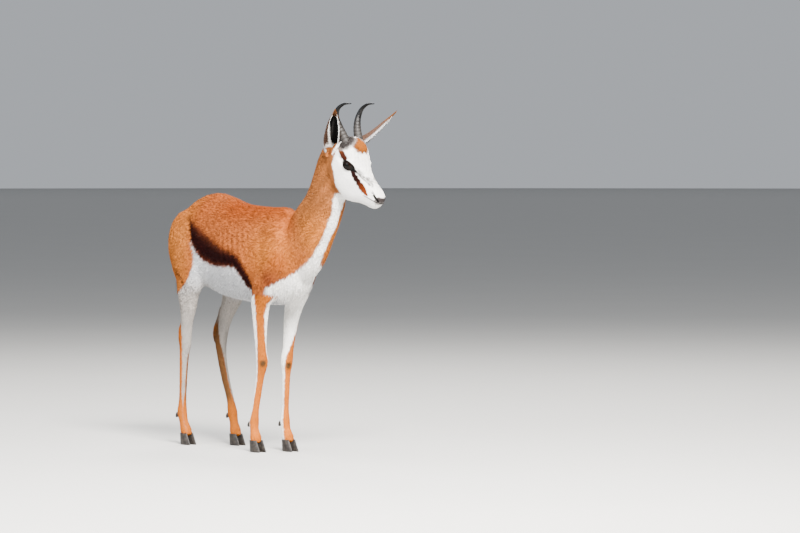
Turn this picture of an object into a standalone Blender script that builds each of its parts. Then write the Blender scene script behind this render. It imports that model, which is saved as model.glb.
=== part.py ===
"""A young springbok standing still, life size, in metres.

The animal faces +X, its left side is +Y and +Z is up. Flesh is lofted from stations along
each body part, fused, smoothed and then parted again by thin cuts. Horns, ears, eyes, claws
and the tail's locks are made on their own and are fitted to the flesh they grow from.
"""

import math

import bmesh
import bpy
import numpy as np
from mathutils import Matrix, Vector
from mathutils.bvhtree import BVHTree

# The stations are laid out from the floor point below the withers. The finished model is
# moved by this much, so that its origin is under the middle of its bounding box.
ORIGIN_SHIFT = Vector((0.0520, -0.0361, 0.0))

GAP = 0.0003  # between nodes that touch
VOXEL = 0.0042  # grid that the lofts are fused on
FLESH_TRIANGLES = 7200  # of the fused body, before it is parted
RIGHT, LEFT = -1, 1  # the sides, as the sign of Y

# Trunk, from the buttock to the breast: x, back line, belly line, half width.
TORSO = (
    (-0.538, 0.640, 0.575, 0.032),
    (-0.518, 0.706, 0.530, 0.064),
    (-0.470, 0.758, 0.505, 0.088),
    (-0.400, 0.786, 0.498, 0.098),
    (-0.345, 0.792, 0.481, 0.096),
    (-0.285, 0.782, 0.468, 0.092),
    (-0.200, 0.761, 0.459, 0.097),
    (-0.120, 0.755, 0.452, 0.098),
    (-0.040, 0.752, 0.449, 0.089),
    (0.025, 0.752, 0.456, 0.077),
    (0.085, 0.718, 0.484, 0.062),
    (0.122, 0.635, 0.530, 0.038),
)
TORSO_BIAS = -0.12  # the barrel is this much wider below its middle than above

# Neck: x and z of its middle, half its depth, half its width.
NECK = (
    (-0.030, 0.590, 0.085, 0.054),
    (0.030, 0.598, 0.098, 0.060),
    (0.096, 0.628, 0.098, 0.061),
    (0.148, 0.690, 0.090, 0.057),
    (0.197, 0.753, 0.079, 0.052),
    (0.224, 0.820, 0.068, 0.048),
    (0.244, 0.879, 0.062, 0.045),
    (0.262, 0.920, 0.053, 0.041),
)

# Head. Its frame has its middle between the eyes, with F towards the nose, L to the left
# and U up from the nose line. F slopes down by HEAD_PITCH and turns left by HEAD_YAW.
HEAD_MIDDLE = Vector((0.351, 0.018, 0.880))
HEAD_PITCH = math.radians(45)
HEAD_YAW = math.radians(12)
# F, upper line, lower line, half width.
HEAD = (
    (-0.094, 0.014, -0.048, 0.027),
    (-0.078, 0.046, -0.074, 0.041),
    (-0.052, 0.062, -0.096, 0.046),
    (-0.022, 0.057, -0.112, 0.0460),
    (0.006, 0.040, -0.116, 0.0435),
    (0.034, 0.026, -0.109, 0.0375),
    (0.062, 0.019, -0.092, 0.0305),
    (0.088, 0.0165, -0.0715, 0.0255),
    (0.114, 0.0150, -0.0560, 0.0225),
    (0.137, 0.0105, -0.0455, 0.0205),
    (0.149, 0.0000, -0.0345, 0.0135),
)
HEAD_SQUARE = 2.4  # its sections are this square, where 2 is an oval
HEAD_BIAS = 0.22  # the head is this much wider above its middle than below
EYE_AT = Vector((0.0005, 0.0325, 0.002))
EYE_RADIUS = 0.0185
EYE_OUT = (0.25, 1.0, 0.10)  # the way an eye looks, along F, out to its side and U
EYE_TILT = math.radians(20)  # of the eye's long axis above F
BROW = (0.0235, 0.0155, 0.0210)  # half sizes of the swelling round an eye, along F, L and U
EYE_OPENING = (0.0155, 0.0115)  # half sizes of the gap between the lids
LID_THICKNESS = 0.0027

# The mouth's line lies in a plane that rises towards the nose. It is seen from a point inside.
MOUTH_FROM = Vector((0.118, 0.0, -0.0215))
MOUTH_RISE = 0.40
MOUTH_CORNER = math.radians(139)  # from straight ahead
MOUTH_GROOVE = (0.0030, 0.0011)  # half sizes, into the head and across the line
LIPS = (0.0020, 0.0046)
# Each nostril's slit, from its upper end: F, out to its side, U, and half its width.
NOSTRIL = (
    (0.1130, 0.0220, 0.0035, 0.0012),
    (0.1230, 0.0205, -0.0005, 0.0024),
    (0.1330, 0.0170, -0.0045, 0.0034),
    (0.1430, 0.0110, -0.0075, 0.0030),
)
NOSTRIL_DEPTH = 0.0055

# Forelegs: x, half spread, z, half depth, half width, from the shoulder blade down.
FORELEG = (
    (0.000, 0.048, 0.700, 0.050, 0.022),
    (0.028, 0.060, 0.625, 0.054, 0.026),
    (0.022, 0.066, 0.560, 0.048, 0.029),
    (-0.010, 0.067, 0.505, 0.047, 0.029),
    (-0.033, 0.064, 0.460, 0.040, 0.026),
    (-0.043, 0.059, 0.415, 0.030, 0.0225),
    (-0.048, 0.055, 0.365, 0.0235, 0.0190),
    (-0.051, 0.050, 0.310, 0.0190, 0.0175),
    (-0.052, 0.046, 0.277, 0.0205, 0.0195),
    (-0.055, 0.046, 0.240, 0.0155, 0.0150),
    (-0.060, 0.047, 0.177, 0.0135, 0.0130),
    (-0.064, 0.048, 0.120, 0.0135, 0.0130),
    (-0.065, 0.048, 0.0945, 0.0165, 0.0160),
    (-0.059, 0.048, 0.064, 0.0140, 0.0155),
    (-0.049, 0.048, 0.042, 0.0180, 0.0195),
    (-0.044, 0.048, 0.026, 0.0150, 0.0170),
)
FORE_LEAN = {RIGHT: -0.040, LEFT: 0.002}  # how far each foot stands from that line

# Hind legs: x of the right and of the left one, then half spread, z, half depth, half width.
HINDLEG = (
    (-0.410, -0.395, 0.040, 0.705, 0.082, 0.040),
    (-0.435, -0.408, 0.056, 0.640, 0.104, 0.045),
    (-0.422, -0.390, 0.066, 0.575, 0.084, 0.042),
    (-0.412, -0.368, 0.070, 0.520, 0.066, 0.036),
    (-0.422, -0.375, 0.070, 0.480, 0.050, 0.031),
    (-0.427, -0.394, 0.067, 0.435, 0.034, 0.0255),
    (-0.438, -0.412, 0.064, 0.390, 0.0225, 0.0195),
    (-0.448, -0.424, 0.061, 0.350, 0.0215, 0.0175),
    (-0.453, -0.431, 0.060, 0.325, 0.0235, 0.0180),
    (-0.462, -0.426, 0.058, 0.285, 0.0185, 0.0155),
    (-0.470, -0.402, 0.057, 0.205, 0.0145, 0.0135),
    (-0.476, -0.371, 0.056, 0.132, 0.0145, 0.0135),
    (-0.480, -0.361, 0.055, 0.102, 0.0175, 0.0165),
    (-0.470, -0.352, 0.055, 0.068, 0.0145, 0.0155),
    (-0.457, -0.344, 0.055, 0.042, 0.0185, 0.0195),
    (-0.450, -0.338, 0.055, 0.026, 0.0155, 0.0170),
)
# The tip of each hock and the tendon above it: x of the right and of the left one, z, radius.
HOCK_TIP = (
    (-0.450, -0.424, 0.430, 0.0120),
    (-0.466, -0.450, 0.385, 0.0090),
    (-0.478, -0.465, 0.352, 0.0105),
    (-0.472, -0.456, 0.318, 0.0120),
)
# The skin between the shin and that tendon, with the same columns.
HOCK_WEB = (
    (-0.446, -0.424, 0.430, 0.0090),
    (-0.457, -0.435, 0.395, 0.0080),
    (-0.463, -0.443, 0.368, 0.0080),
    (-0.465, -0.448, 0.340, 0.0080),
    (-0.462, -0.448, 0.322, 0.0080),
)

# Cuts that part the flesh, each a plane by a point and the way it faces.
HEAD_CUT = (Vector((0.286, 0.0, 0.872)), Vector((0.93, 0.0, 0.37)))
NECK_CUT = (Vector((0.122, 0.0, 0.690)), Vector((0.78, 0.0, 0.63)))
# Each leg's region lies outside of the middle and below a line that slopes up to the outside:
# how far it reaches from x to x, its z at the middle and its rise per metre.
LEG_FROM_MIDDLE = 0.004
FORE_REGION = (-0.130, 0.118, 0.446, 0.86)
HIND_REGION = (-0.700, -0.270, 0.482, 1.40)
KNEE_Z, HOCK_Z, CORONET_Z = 0.277, 0.322, 0.036

# Claws: half length and half width at the coronet and at the sole, and the toe's overhang.
CLAW_TOP, CLAW_SOLE, CLAW_TOE = (0.0170, 0.0086), (0.0255, 0.0102), 0.0115
CLAW_SPREAD = 0.0112
DEWCLAW = (0.0062, 0.0035, 0.015)  # root radius, tip radius, length

# Horns, in the head's upright frame: ahead of the eyes, half spread, above the eyes, radius.
HORN = (
    (-0.013, 0.028, 0.062, 0.0132),
    (-0.022, 0.032, 0.084, 0.0126),
    (-0.034, 0.0405, 0.117, 0.0108),
    (-0.037, 0.049, 0.144, 0.0086),
    (-0.027, 0.053, 0.167, 0.0064),
    (-0.004, 0.053, 0.181, 0.0040),
    (0.025, 0.051, 0.183, 0.0014),
)
HORN_RINGS, HORN_RING_DEPTH, HORN_RINGED = 7, 0.0010, 0.66
HORN_STEPS, HORN_AROUND = 28, 8

# Ears, in the head's upright frame: root, tip, the way the cup opens and how far it bows back.
EAR = {
    RIGHT: (Vector((-0.076, -0.038, 0.018)), Vector((0.018, -0.114, 0.166)), Vector((0.68, -0.73, 0.0)), 0.006),
    LEFT: (Vector((-0.062, 0.035, 0.026)), Vector((0.018, 0.160, 0.162)), Vector((0.68, 0.73, 0.0)), -0.008),
}
# Share of its length, radius of the cup, half the angle that it wraps in degrees.
EAR_CUP = (
    (0.00, 0.0165, 150),
    (0.12, 0.0195, 142),
    (0.26, 0.0220, 112),
    (0.42, 0.0228, 86),
    (0.58, 0.0212, 76),
    (0.74, 0.0165, 72),
    (0.88, 0.0090, 66),
    (1.00, 0.0016, 62),
)
EAR_WALL = 0.0026
EAR_STEPS, EAR_ACROSS = 11, 7

# Tail: x, y, z and radius.
TAIL = (
    (-0.480, 0.000, 0.712, 0.0170),
    (-0.512, 0.000, 0.704, 0.0160),
    (-0.536, -0.003, 0.676, 0.0140),
    (-0.547, -0.008, 0.632, 0.0115),
    (-0.546, -0.014, 0.586, 0.0095),
    (-0.538, -0.020, 0.546, 0.0075),
    (-0.528, -0.026, 0.515, 0.0050),
)
TAIL_SPLIT = 0.58  # the tuft's locks grow from here down
TAIL_LOCKS, TAIL_LOCK_LENGTH, TAIL_LOCK_WIDTH = 13, 0.074, 0.0052
TAIL_LOCK_SEED = 5

COLOURS = {  # base colour, roughness
    "coat_tan": ((0.46, 0.18, 0.06), 0.75),
    "coat_white": ((0.80, 0.77, 0.72), 0.75),
    "horn": ((0.045, 0.038, 0.034), 0.45),
    "claw": ((0.030, 0.026, 0.024), 0.40),
    "eye": ((0.012, 0.008, 0.006), 0.05),
    "tuft_black": ((0.020, 0.014, 0.012), 0.70),
}
# Material by a node's name or by its first word; all others are tan.
SLOTS = {
    "head": "coat_white",
    "tail": "coat_white",
    "tail_tuft": "tuft_black",
    "horn": "horn",
    "claw": "claw",
    "eye": "eye",
}


def clear_scene():
    """Removes every object that the file opened with."""
    for found in list(bpy.data.objects):
        bpy.data.objects.remove(found)


def new_collection(name):
    """A collection linked to the scene."""
    made = bpy.data.collections.new(name)
    bpy.context.scene.collection.children.link(made)
    return made


def new_object(name, mesh, collection):
    """An object of this mesh, linked to the collection."""
    made = bpy.data.objects.new(name, mesh)
    collection.objects.link(made)
    return made


def smooth_rows(rows, count):
    """Reads `count` rows evenly along a smooth curve through the given rows.

    It is a cubic through each row whose slopes come from the rows on either side.
    """
    rows = np.array(rows, float)
    step = np.linalg.norm(np.diff(rows[:, :3], axis=0), axis=1)
    along = np.concatenate([[0.0], np.cumsum(step)])
    slope = np.gradient(rows, along, axis=0)
    at = np.linspace(0.0, along[-1], count)
    low = np.clip(np.searchsorted(along, at, side="right") - 1, 0, len(rows) - 2)
    span = (along[low + 1] - along[low])[:, None]
    t = (at[:, None] - along[low][:, None]) / span
    return (
        (2 * t**3 - 3 * t**2 + 1) * rows[low]
        + (t**3 - 2 * t**2 + t) * span * slope[low]
        + (3 * t**2 - 2 * t**3) * rows[low + 1]
        + (t**3 - t**2) * span * slope[low + 1]
    )


def ring(middle, across, up, half_width, half_height, bias=0.0, around=20, square=2.0):
    """Points of an oval section, squarer above 2. Bias widens its upper half and narrows its lower half."""
    angle = np.linspace(0.0, 2 * math.pi, around, endpoint=False)
    cosine, sine = np.cos(angle), np.sin(angle)
    sideways = half_width * np.sign(cosine) * np.abs(cosine) ** (2 / square) * (1 + bias * sine)
    upwards = half_height * np.sign(sine) * np.abs(sine) ** (2 / square)
    return np.array(middle) + sideways[:, None] * np.array(across) + upwards[:, None] * np.array(up)


def loft(name, rings, collection):
    """A closed mesh object through rings of equally many points, with flat ends."""
    mesh = bpy.data.meshes.new(name)
    shape = bmesh.new()
    rows = [[shape.verts.new(point) for point in points] for points in rings]
    for low, high in zip(rows, rows[1:]):
        for i, corner in enumerate(low):
            j = (i + 1) % len(low)
            shape.faces.new((corner, low[j], high[j], high[i]))
    for end in (rows[0], rows[-1]):
        cap = shape.faces.new(end)
        bmesh.ops.triangulate(shape, faces=[cap])
    bmesh.ops.recalc_face_normals(shape, faces=shape.faces)
    shape.to_mesh(mesh)
    shape.free()
    return new_object(name, mesh, collection)


def head_point(along, left, up):
    """A point of the head's own frame, in the model."""
    heading = Vector((math.cos(HEAD_YAW), math.sin(HEAD_YAW), 0.0))
    forward = heading * math.cos(HEAD_PITCH) - Vector((0, 0, math.sin(HEAD_PITCH)))
    upward = heading * math.sin(HEAD_PITCH) + Vector((0, 0, math.cos(HEAD_PITCH)))
    sideways = Vector((-math.sin(HEAD_YAW), math.cos(HEAD_YAW), 0.0))
    return HEAD_MIDDLE + forward * along + sideways * left + upward * up


def head_vector(along, left, up):
    """A direction of the head's own frame, in the model."""
    return head_point(along, left, up) - HEAD_MIDDLE


def upright_point(ahead, left, above):
    """A point from the middle of the eyes, by the way the head faces and the vertical."""
    turn = Matrix.Rotation(HEAD_YAW, 3, "Z")
    return HEAD_MIDDLE + turn @ Vector((ahead, left, above))


def torso(collection):
    """The trunk, as ovals across its length."""
    rings = []
    for x, back, belly, half_width in smooth_rows(TORSO, 26):
        middle = (x, 0.0, (back + belly) / 2)
        half_height = (back - belly) / 2
        rings.append(ring(middle, (0, 1, 0), (0, 0, 1), half_width, half_height, TORSO_BIAS, 28))
    return loft("torso_form", rings, collection)


def tube(name, rows, collection, steps, around=18):
    """An oval tube along rows of x, y, z, half depth and half width, square to its path."""
    rows = smooth_rows(rows, steps)
    path = rows[:, :3]
    heading = np.gradient(path, axis=0)
    heading /= np.linalg.norm(heading, axis=1)[:, None]
    rings = []
    for point, along, (depth, width) in zip(path, heading, rows[:, 3:5]):
        across = np.array((0.0, 1.0, 0.0)) - along * along[1]
        across /= np.linalg.norm(across)
        rings.append(ring(point, across, np.cross(along, across), width, depth, around=around))
    return loft(name, rings, collection)


def neck(collection):
    """The neck, turned towards the head at its upper end."""
    reach = NECK[-1][0] - NECK[0][0]
    rows = []
    for x, z, depth, width in NECK:
        share = (x - NECK[0][0]) / reach
        rows.append((x, 0.012 * share**2, z, depth, width))
    return tube("neck_form", rows, collection, 18, 24)


def head(collection):
    """The head's main mass, with a swelling round each eye."""
    rings = []
    for along, upper, lower, half_width in smooth_rows(HEAD, 24):
        middle = head_point(along, 0.0, (upper + lower) / 2)
        across, up = head_vector(0, 1, 0), head_vector(0, 0, 1)
        half_height = (upper - lower) / 2
        rings.append(ring(middle, across, up, half_width, half_height, HEAD_BIAS, 24, HEAD_SQUARE))
    forms = [loft("head_form", rings, collection)]
    for side in (RIGHT, LEFT):
        bump = bmesh.new()
        bmesh.ops.create_uvsphere(bump, u_segments=20, v_segments=12, radius=1.0)
        for vert in bump.verts:
            along, left, up = (size * value for size, value in zip(BROW, vert.co))
            vert.co = head_point(EYE_AT.x + along, side * (EYE_AT.y - 0.004) + left, EYE_AT.z + up)
        mesh = bpy.data.meshes.new("brow_form")
        bump.to_mesh(mesh)
        bump.free()
        forms.append(new_object("brow_form", mesh, collection))
    return forms


def foreleg_rows(side):
    """A foreleg's stations, with the foot set where that leg stands."""
    rows = []
    for x, spread, z, depth, width in FORELEG:
        share = max(0.0, 1 - z / FORELEG[8][2])
        rows.append((x + FORE_LEAN[side] * share, side * spread, z, depth, width))
    return rows


def hindleg_rows(side):
    """A hind leg's stations."""
    rows = []
    for right_x, left_x, spread, z, depth, width in HINDLEG:
        rows.append((right_x if side == RIGHT else left_x, side * spread, z, depth, width))
    return rows


def legs(collection):
    """All four legs down to the coronet, and the tip of each hock."""
    forms = []
    for side in (RIGHT, LEFT):
        forms.append(tube("foreleg_form", foreleg_rows(side), collection, 44))
        forms.append(tube("hindleg_form", hindleg_rows(side), collection, 44))
        for table in (HOCK_TIP, HOCK_WEB):
            rows = []
            for right_x, left_x, z, radius in table:
                rows.append((right_x if side == RIGHT else left_x, side * 0.061, z, radius, radius * 0.9))
            forms.append(tube("hock_form", rows, collection, 8, 10))
    return forms


def evaluated_mesh(obj):
    """The object's mesh with its modifiers applied."""
    graph = bpy.context.evaluated_depsgraph_get()
    return bpy.data.meshes.new_from_object(obj.evaluated_get(graph))


def apply_modifiers(obj):
    """Replaces the object's mesh by its evaluated one, without modifiers."""
    mesh = evaluated_mesh(obj)
    obj.modifiers.clear()
    obj.data = mesh


def keep_largest(obj):
    """Drops every closed surface of the object except the largest."""
    shape = bmesh.new()
    shape.from_mesh(obj.data)
    left = set(shape.verts)
    groups = []
    while left:
        group, edge = set(), [left.pop()]
        while edge:
            vert = edge.pop()
            group.add(vert)
            for link in vert.link_edges:
                other = link.other_vert(vert)
                if other in left:
                    left.remove(other)
                    edge.append(other)
        groups.append(group)
    groups.sort(key=len)
    for group in groups[:-1]:
        bmesh.ops.delete(shape, geom=list(group), context="VERTS")
    shape.to_mesh(obj.data)
    shape.free()


def join(name, forms, collection):
    """One object that holds all the forms' meshes, as they lie."""
    shape = bmesh.new()
    for form in forms:
        shape.from_mesh(form.data)
        bpy.data.objects.remove(form)
    mesh = bpy.data.meshes.new(name)
    shape.to_mesh(mesh)
    shape.free()
    return new_object(name, mesh, collection)


def ramp(value, low, high):
    """Rises smoothly from 0 at low to 1 at high."""
    t = np.clip((value - low) / (high - low), 0.0, 1.0)
    return t * t * (3 - 2 * t)


def relax(obj, rounds, weight_of):
    """Moves each vertex towards the mean of its neighbours, by a weight from its place."""
    mesh = obj.data
    points = np.empty(len(mesh.vertices) * 3)
    mesh.vertices.foreach_get("co", points)
    points = points.reshape(-1, 3)
    edges = np.empty(len(mesh.edges) * 2, np.int32)
    mesh.edges.foreach_get("vertices", edges)
    ends = np.concatenate([edges.reshape(-1, 2), edges.reshape(-1, 2)[:, ::-1]])
    count = np.bincount(ends[:, 0], minlength=len(points))[:, None]
    weight = weight_of(points)[:, None]
    for _ in range(rounds):
        total = np.stack([np.bincount(ends[:, 0], points[ends[:, 1], k], len(points)) for k in range(3)], 1)
        points += weight * (total / count - points)
    mesh.vertices.foreach_set("co", points.ravel())
    mesh.update()


def trunk_weight(points):
    """1 on the trunk and the neck's base, less on the legs and the head."""
    above = ramp(points[:, 2], 0.40, 0.52)
    before_head = 1 - ramp(points[:, 0] * 0.93 + points[:, 2] * 0.37, 0.56, 0.61)
    return 0.55 * above * before_head


def everywhere(points):
    """An even weight."""
    return np.full(len(points), 0.5)


def flesh(collection):
    """The whole body fused into one closed mesh, smoothed and thinned."""
    forms = [torso(collection), neck(collection), *head(collection), *legs(collection)]
    body = join("flesh", forms, collection)
    fuse = body.modifiers.new("fuse", "REMESH")
    fuse.mode = "VOXEL"
    fuse.voxel_size = VOXEL
    apply_modifiers(body)
    keep_largest(body)
    relax(body, 22, trunk_weight)
    relax(body, 3, everywhere)
    body.data.calc_loop_triangles()
    thin = body.modifiers.new("thin", "DECIMATE")
    thin.ratio = FLESH_TRIANGLES / len(body.data.loop_triangles)
    thin.use_collapse_triangulate = True
    apply_modifiers(body)
    return body


def boolean(obj, other, operation, solver="EXACT"):
    """Joins or cuts obj by another mesh object, and keeps its largest closed surface."""
    change = obj.modifiers.new(operation.lower(), "BOOLEAN")
    change.operation = operation
    change.solver = solver
    change.object = other
    apply_modifiers(obj)
    keep_largest(obj)


def copy_of(obj, name, collection):
    """A second object with a mesh of its own."""
    return new_object(name, obj.data.copy(), collection)


def box(name, collection, size, place):
    """A box of this size, put in place by a matrix."""
    bpy.ops.mesh.primitive_cube_add(size=1.0)
    made = bpy.context.object
    made.name = name
    for other in list(made.users_collection):
        other.objects.unlink(made)
    collection.objects.link(made)
    made.data.transform(place @ Matrix.Diagonal((*size, 1.0)))
    return made


def facing(point, direction):
    """A matrix whose +Z runs along direction from point."""
    return Matrix.Translation(point) @ Vector(direction).to_track_quat("Z", "Y").to_matrix().to_4x4()


def half_space(name, collection, cut, shift=0.0):
    """A large box on the far side of a plane, moved along the way that it faces."""
    point, direction = cut
    place = facing(point, direction) @ Matrix.Translation((0, 0, 1.0 + shift))
    return box(name, collection, (2.0, 2.0, 2.0), place)


def part_off(rest, name, cutter, wide_cutter, collection):
    """Takes what lies in the cutter off the rest, and leaves a thin gap between them."""
    piece = copy_of(rest, name, collection)
    boolean(piece, cutter, "INTERSECT")
    boolean(rest, wide_cutter, "DIFFERENCE")
    return piece


def leg_region(name, collection, region, side, grow):
    """A prism that holds one leg: outside of the middle and below the sloping line."""
    back, front, height, rise = region
    inner, outer = side * (LEG_FROM_MIDDLE - grow), side * 0.4
    height += grow * math.hypot(1.0, rise)
    rings = []
    for x in (back - grow, front + grow):
        low = [(x, inner, -0.1), (x, outer, -0.1)]
        high = [(x, outer, height + rise * abs(outer)), (x, inner, height + rise * abs(inner))]
        rings.append(low + high)
    return loft(name, rings, collection)


def inflated(obj, by, name, collection):
    """A copy of a closed mesh moved outwards along its normals."""
    made = copy_of(obj, name, collection)
    for vert, normal in zip(made.data.vertices, [n.vector.copy() for n in made.data.vertex_normals]):
        vert.co += normal * by
    return made


def part_flesh(body, nodes, tools):
    """Parts the flesh into head, neck, legs and torso, and returns them by name."""
    parts = {}
    for name, cut in (("head", HEAD_CUT), ("neck", NECK_CUT)):
        near, far = half_space("cut", tools, cut), half_space("cut", tools, cut, -GAP)
        parts[name] = part_off(body, name, near, far, nodes)
    legs_of = (("foreleg", FORE_REGION, "forecannon", KNEE_Z), ("hindleg", HIND_REGION, "hindcannon", HOCK_Z))
    for side, side_name in ((RIGHT, "right"), (LEFT, "left")):
        for upper, region, lower, joint in legs_of:
            near = leg_region("cut", tools, region, side, 0.0)
            far = leg_region("cut", tools, region, side, GAP)
            leg = part_off(body, f"{upper}_{side_name}", near, far, nodes)
            below = (Vector((0, 0, joint)), Vector((0, 0, -1)))
            near, far = half_space("cut", tools, below), half_space("cut", tools, below, -GAP)
            parts[f"{lower}_{side_name}"] = part_off(leg, f"{lower}_{side_name}", near, far, nodes)
            sole = half_space("cut", tools, (Vector((0, 0, CORONET_Z)), Vector((0, 0, -1))))
            boolean(parts[f"{lower}_{side_name}"], sole, "DIFFERENCE")
            parts[leg.name] = leg
    body.name = "torso"
    nodes.objects.link(body)
    tools.objects.unlink(body)
    parts["torso"] = body
    return parts


def horn(side, collection):
    """A ringed horn that leans back and hooks forward at its tip."""
    rows = []
    for ahead, spread, above, radius in HORN:
        rows.append((*upright_point(ahead, side * spread, above), radius, radius))
    rows = smooth_rows(rows, HORN_STEPS)
    share = np.linspace(0.0, 1.0, HORN_STEPS)
    ringed = np.clip((HORN_RINGED - share) / 0.15, 0.0, 1.0)
    swell = HORN_RING_DEPTH * ringed * np.cos(2 * math.pi * HORN_RINGS * share / HORN_RINGED)
    rows[:, 3:5] += swell[:, None]
    name = "horn_right" if side == RIGHT else "horn_left"
    return tube(name, rows, collection, HORN_STEPS, HORN_AROUND)


def ear(side, collection):
    """A cupped ear: a wall bent round its length, nearly closed at the root and open above."""
    root, tip, opening, bow = EAR[side]
    root, tip = upright_point(*root), upright_point(*tip)
    axis = (tip - root).normalized()
    facing_way = Matrix.Rotation(HEAD_YAW, 3, "Z") @ opening
    front = (facing_way - axis * facing_way.dot(axis)).normalized()
    across = axis.cross(front)
    shares, radii, wraps = np.array(EAR_CUP).T
    rings = []
    for share in np.linspace(0.0, 1.0, EAR_STEPS):
        radius = np.interp(share, shares, radii)
        wrap = math.radians(np.interp(share, shares, wraps))
        middle = root.lerp(tip, share) - front * (bow * math.sin(math.pi * share))
        wall = min(EAR_WALL, radius * 0.55)
        points = []
        for layer, order in ((radius, 1), (radius - wall, -1)):
            for t in np.linspace(-1.0, 1.0, EAR_ACROSS)[::order]:
                angle = wrap * t
                out = across * (layer * math.sin(angle)) - front * (layer * math.cos(angle) - radius * math.cos(wrap))
                points.append(middle + out)
        rings.append(points)
    name = "ear_right" if side == RIGHT else "ear_left"
    return loft(name, rings, collection)


def eye_place(side):
    """The middle of an eyeball, the way it looks, its long axis and its short one."""
    middle = head_point(EYE_AT.x, side * EYE_AT.y, EYE_AT.z)
    out = head_vector(EYE_OUT[0], side * EYE_OUT[1], EYE_OUT[2]).normalized()
    level = head_vector(math.cos(EYE_TILT), 0.0, math.sin(EYE_TILT))
    level = (level - out * level.dot(out)).normalized()
    return middle, out, level, out.cross(level)


def eye(side, radius, name, collection, segments=16):
    """An eyeball, whose pole points out of the head."""
    middle, out, _, _ = eye_place(side)
    ball = bmesh.new()
    rings = segments // 2 + 1
    bmesh.ops.create_uvsphere(
        ball, u_segments=segments, v_segments=rings, radius=radius, matrix=facing(middle, out)
    )
    mesh = bpy.data.meshes.new(name)
    ball.to_mesh(mesh)
    ball.free()
    return new_object(name, mesh, collection)


def eye_gap(side, collection):
    """An oval bar that opens the flesh in front of an eyeball."""
    middle, out, level, tall = eye_place(side)
    rings = []
    for depth in (0.004, 0.040):
        rings.append(ring(middle + out * depth, level, tall, *EYE_OPENING, around=20))
    return loft("eye_gap", rings, collection)


def closed_tube(name, rings, collection):
    """A mesh object through rings, of which the last joins the first."""
    shape = bmesh.new()
    loops = [[shape.verts.new(point) for point in points] for points in rings]
    for low, high in zip(loops, loops[1:] + loops[:1]):
        for i, corner in enumerate(low):
            j = (i + 1) % len(low)
            shape.faces.new((corner, low[j], high[j], high[i]))
    bmesh.ops.recalc_face_normals(shape, faces=shape.faces)
    mesh = bpy.data.meshes.new(name)
    shape.to_mesh(mesh)
    shape.free()
    return new_object(name, mesh, collection)


def surface_of(obj):
    """A search tree over the object's faces."""
    shape = bmesh.new()
    shape.from_mesh(obj.data)
    tree = BVHTree.FromBMesh(shape)
    shape.free()
    return tree


def lids(side, tree, collection):
    """A raised rim that follows the flesh round the gap between the lids."""
    middle, out, level, tall = eye_place(side)
    points = []
    for angle in np.linspace(0.0, 2 * math.pi, 20, endpoint=False):
        aside = level * (EYE_OPENING[0] + LID_THICKNESS * 0.4) * math.cos(angle)
        aside += tall * (EYE_OPENING[1] + LID_THICKNESS * 0.4) * math.sin(angle)
        points.append(tree.ray_cast(middle + aside + out * 0.05, -out)[0])
    rings = []
    for i, point in enumerate(points):
        along = (points[(i + 1) % len(points)] - points[i - 1]).normalized()
        aside = out.cross(along).normalized()
        rings.append(ring(point, aside, along.cross(aside), LID_THICKNESS, LID_THICKNESS, around=8))
    return closed_tube("lids", rings, collection)


def surface_tube(name, points, inside, sizes, collection, around=8):
    """A tube along points of the surface, flat to the way out from a point inside.

    Each of the sizes is the tube's half depth, along that way, and its half width.
    """
    rings = []
    for i, (point, size) in enumerate(zip(points, sizes)):
        along = (points[min(i + 1, len(points) - 1)] - points[max(i - 1, 0)]).normalized()
        out = (point - inside).normalized()
        out = (out - along * out.dot(along)).normalized()
        rings.append(ring(point, out, along.cross(out), *size, around=around))
    return loft(name, rings, collection)


def mouth_line(tree, reach):
    """Points on the lips from corner to corner, up to this angle from straight ahead."""
    inside = head_point(*MOUTH_FROM)
    points = []
    for angle in np.linspace(-reach, reach, 25):
        way = head_vector(math.cos(angle), math.sin(angle), MOUTH_RISE * math.cos(angle))
        points.append(tree.ray_cast(inside, way.normalized())[0])
    return points


def mouth(head_node, collection):
    """Gives the head two lips, as a rim along the mouth's line and a groove through it."""
    tree = surface_of(head_node)
    inside = head_point(*MOUTH_FROM)
    ends = np.sin(np.linspace(0.0, math.pi, 25)) ** 0.35
    sizes = [(0.0006 + LIPS[0] * end, 0.0008 + LIPS[1] * end) for end in ends]
    rim = surface_tube("lips", mouth_line(tree, MOUTH_CORNER), inside, sizes, collection)
    boolean(head_node, rim, "UNION")
    line = mouth_line(surface_of(head_node), MOUTH_CORNER * 0.98)
    groove = surface_tube("groove", line, inside, [MOUTH_GROOVE] * 25, collection)
    boolean(head_node, groove, "DIFFERENCE")


def nostril(side, tree, collection):
    """A tapered slit that runs down and forward into the nose's side."""
    inside = head_point(NOSTRIL[2][0] - 0.014, 0.0, NOSTRIL[2][2] - 0.010)
    points, sizes = [], []
    for along, out, up, width in smooth_rows(NOSTRIL, 7):
        way = (head_point(along, side * out, up) - inside).normalized()
        points.append(tree.ray_cast(inside, way)[0])
        sizes.append((NOSTRIL_DEPTH * (0.35 + 0.65 * width / 0.0034), width))
    return surface_tube("nostril", points, inside, sizes, collection)


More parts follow.
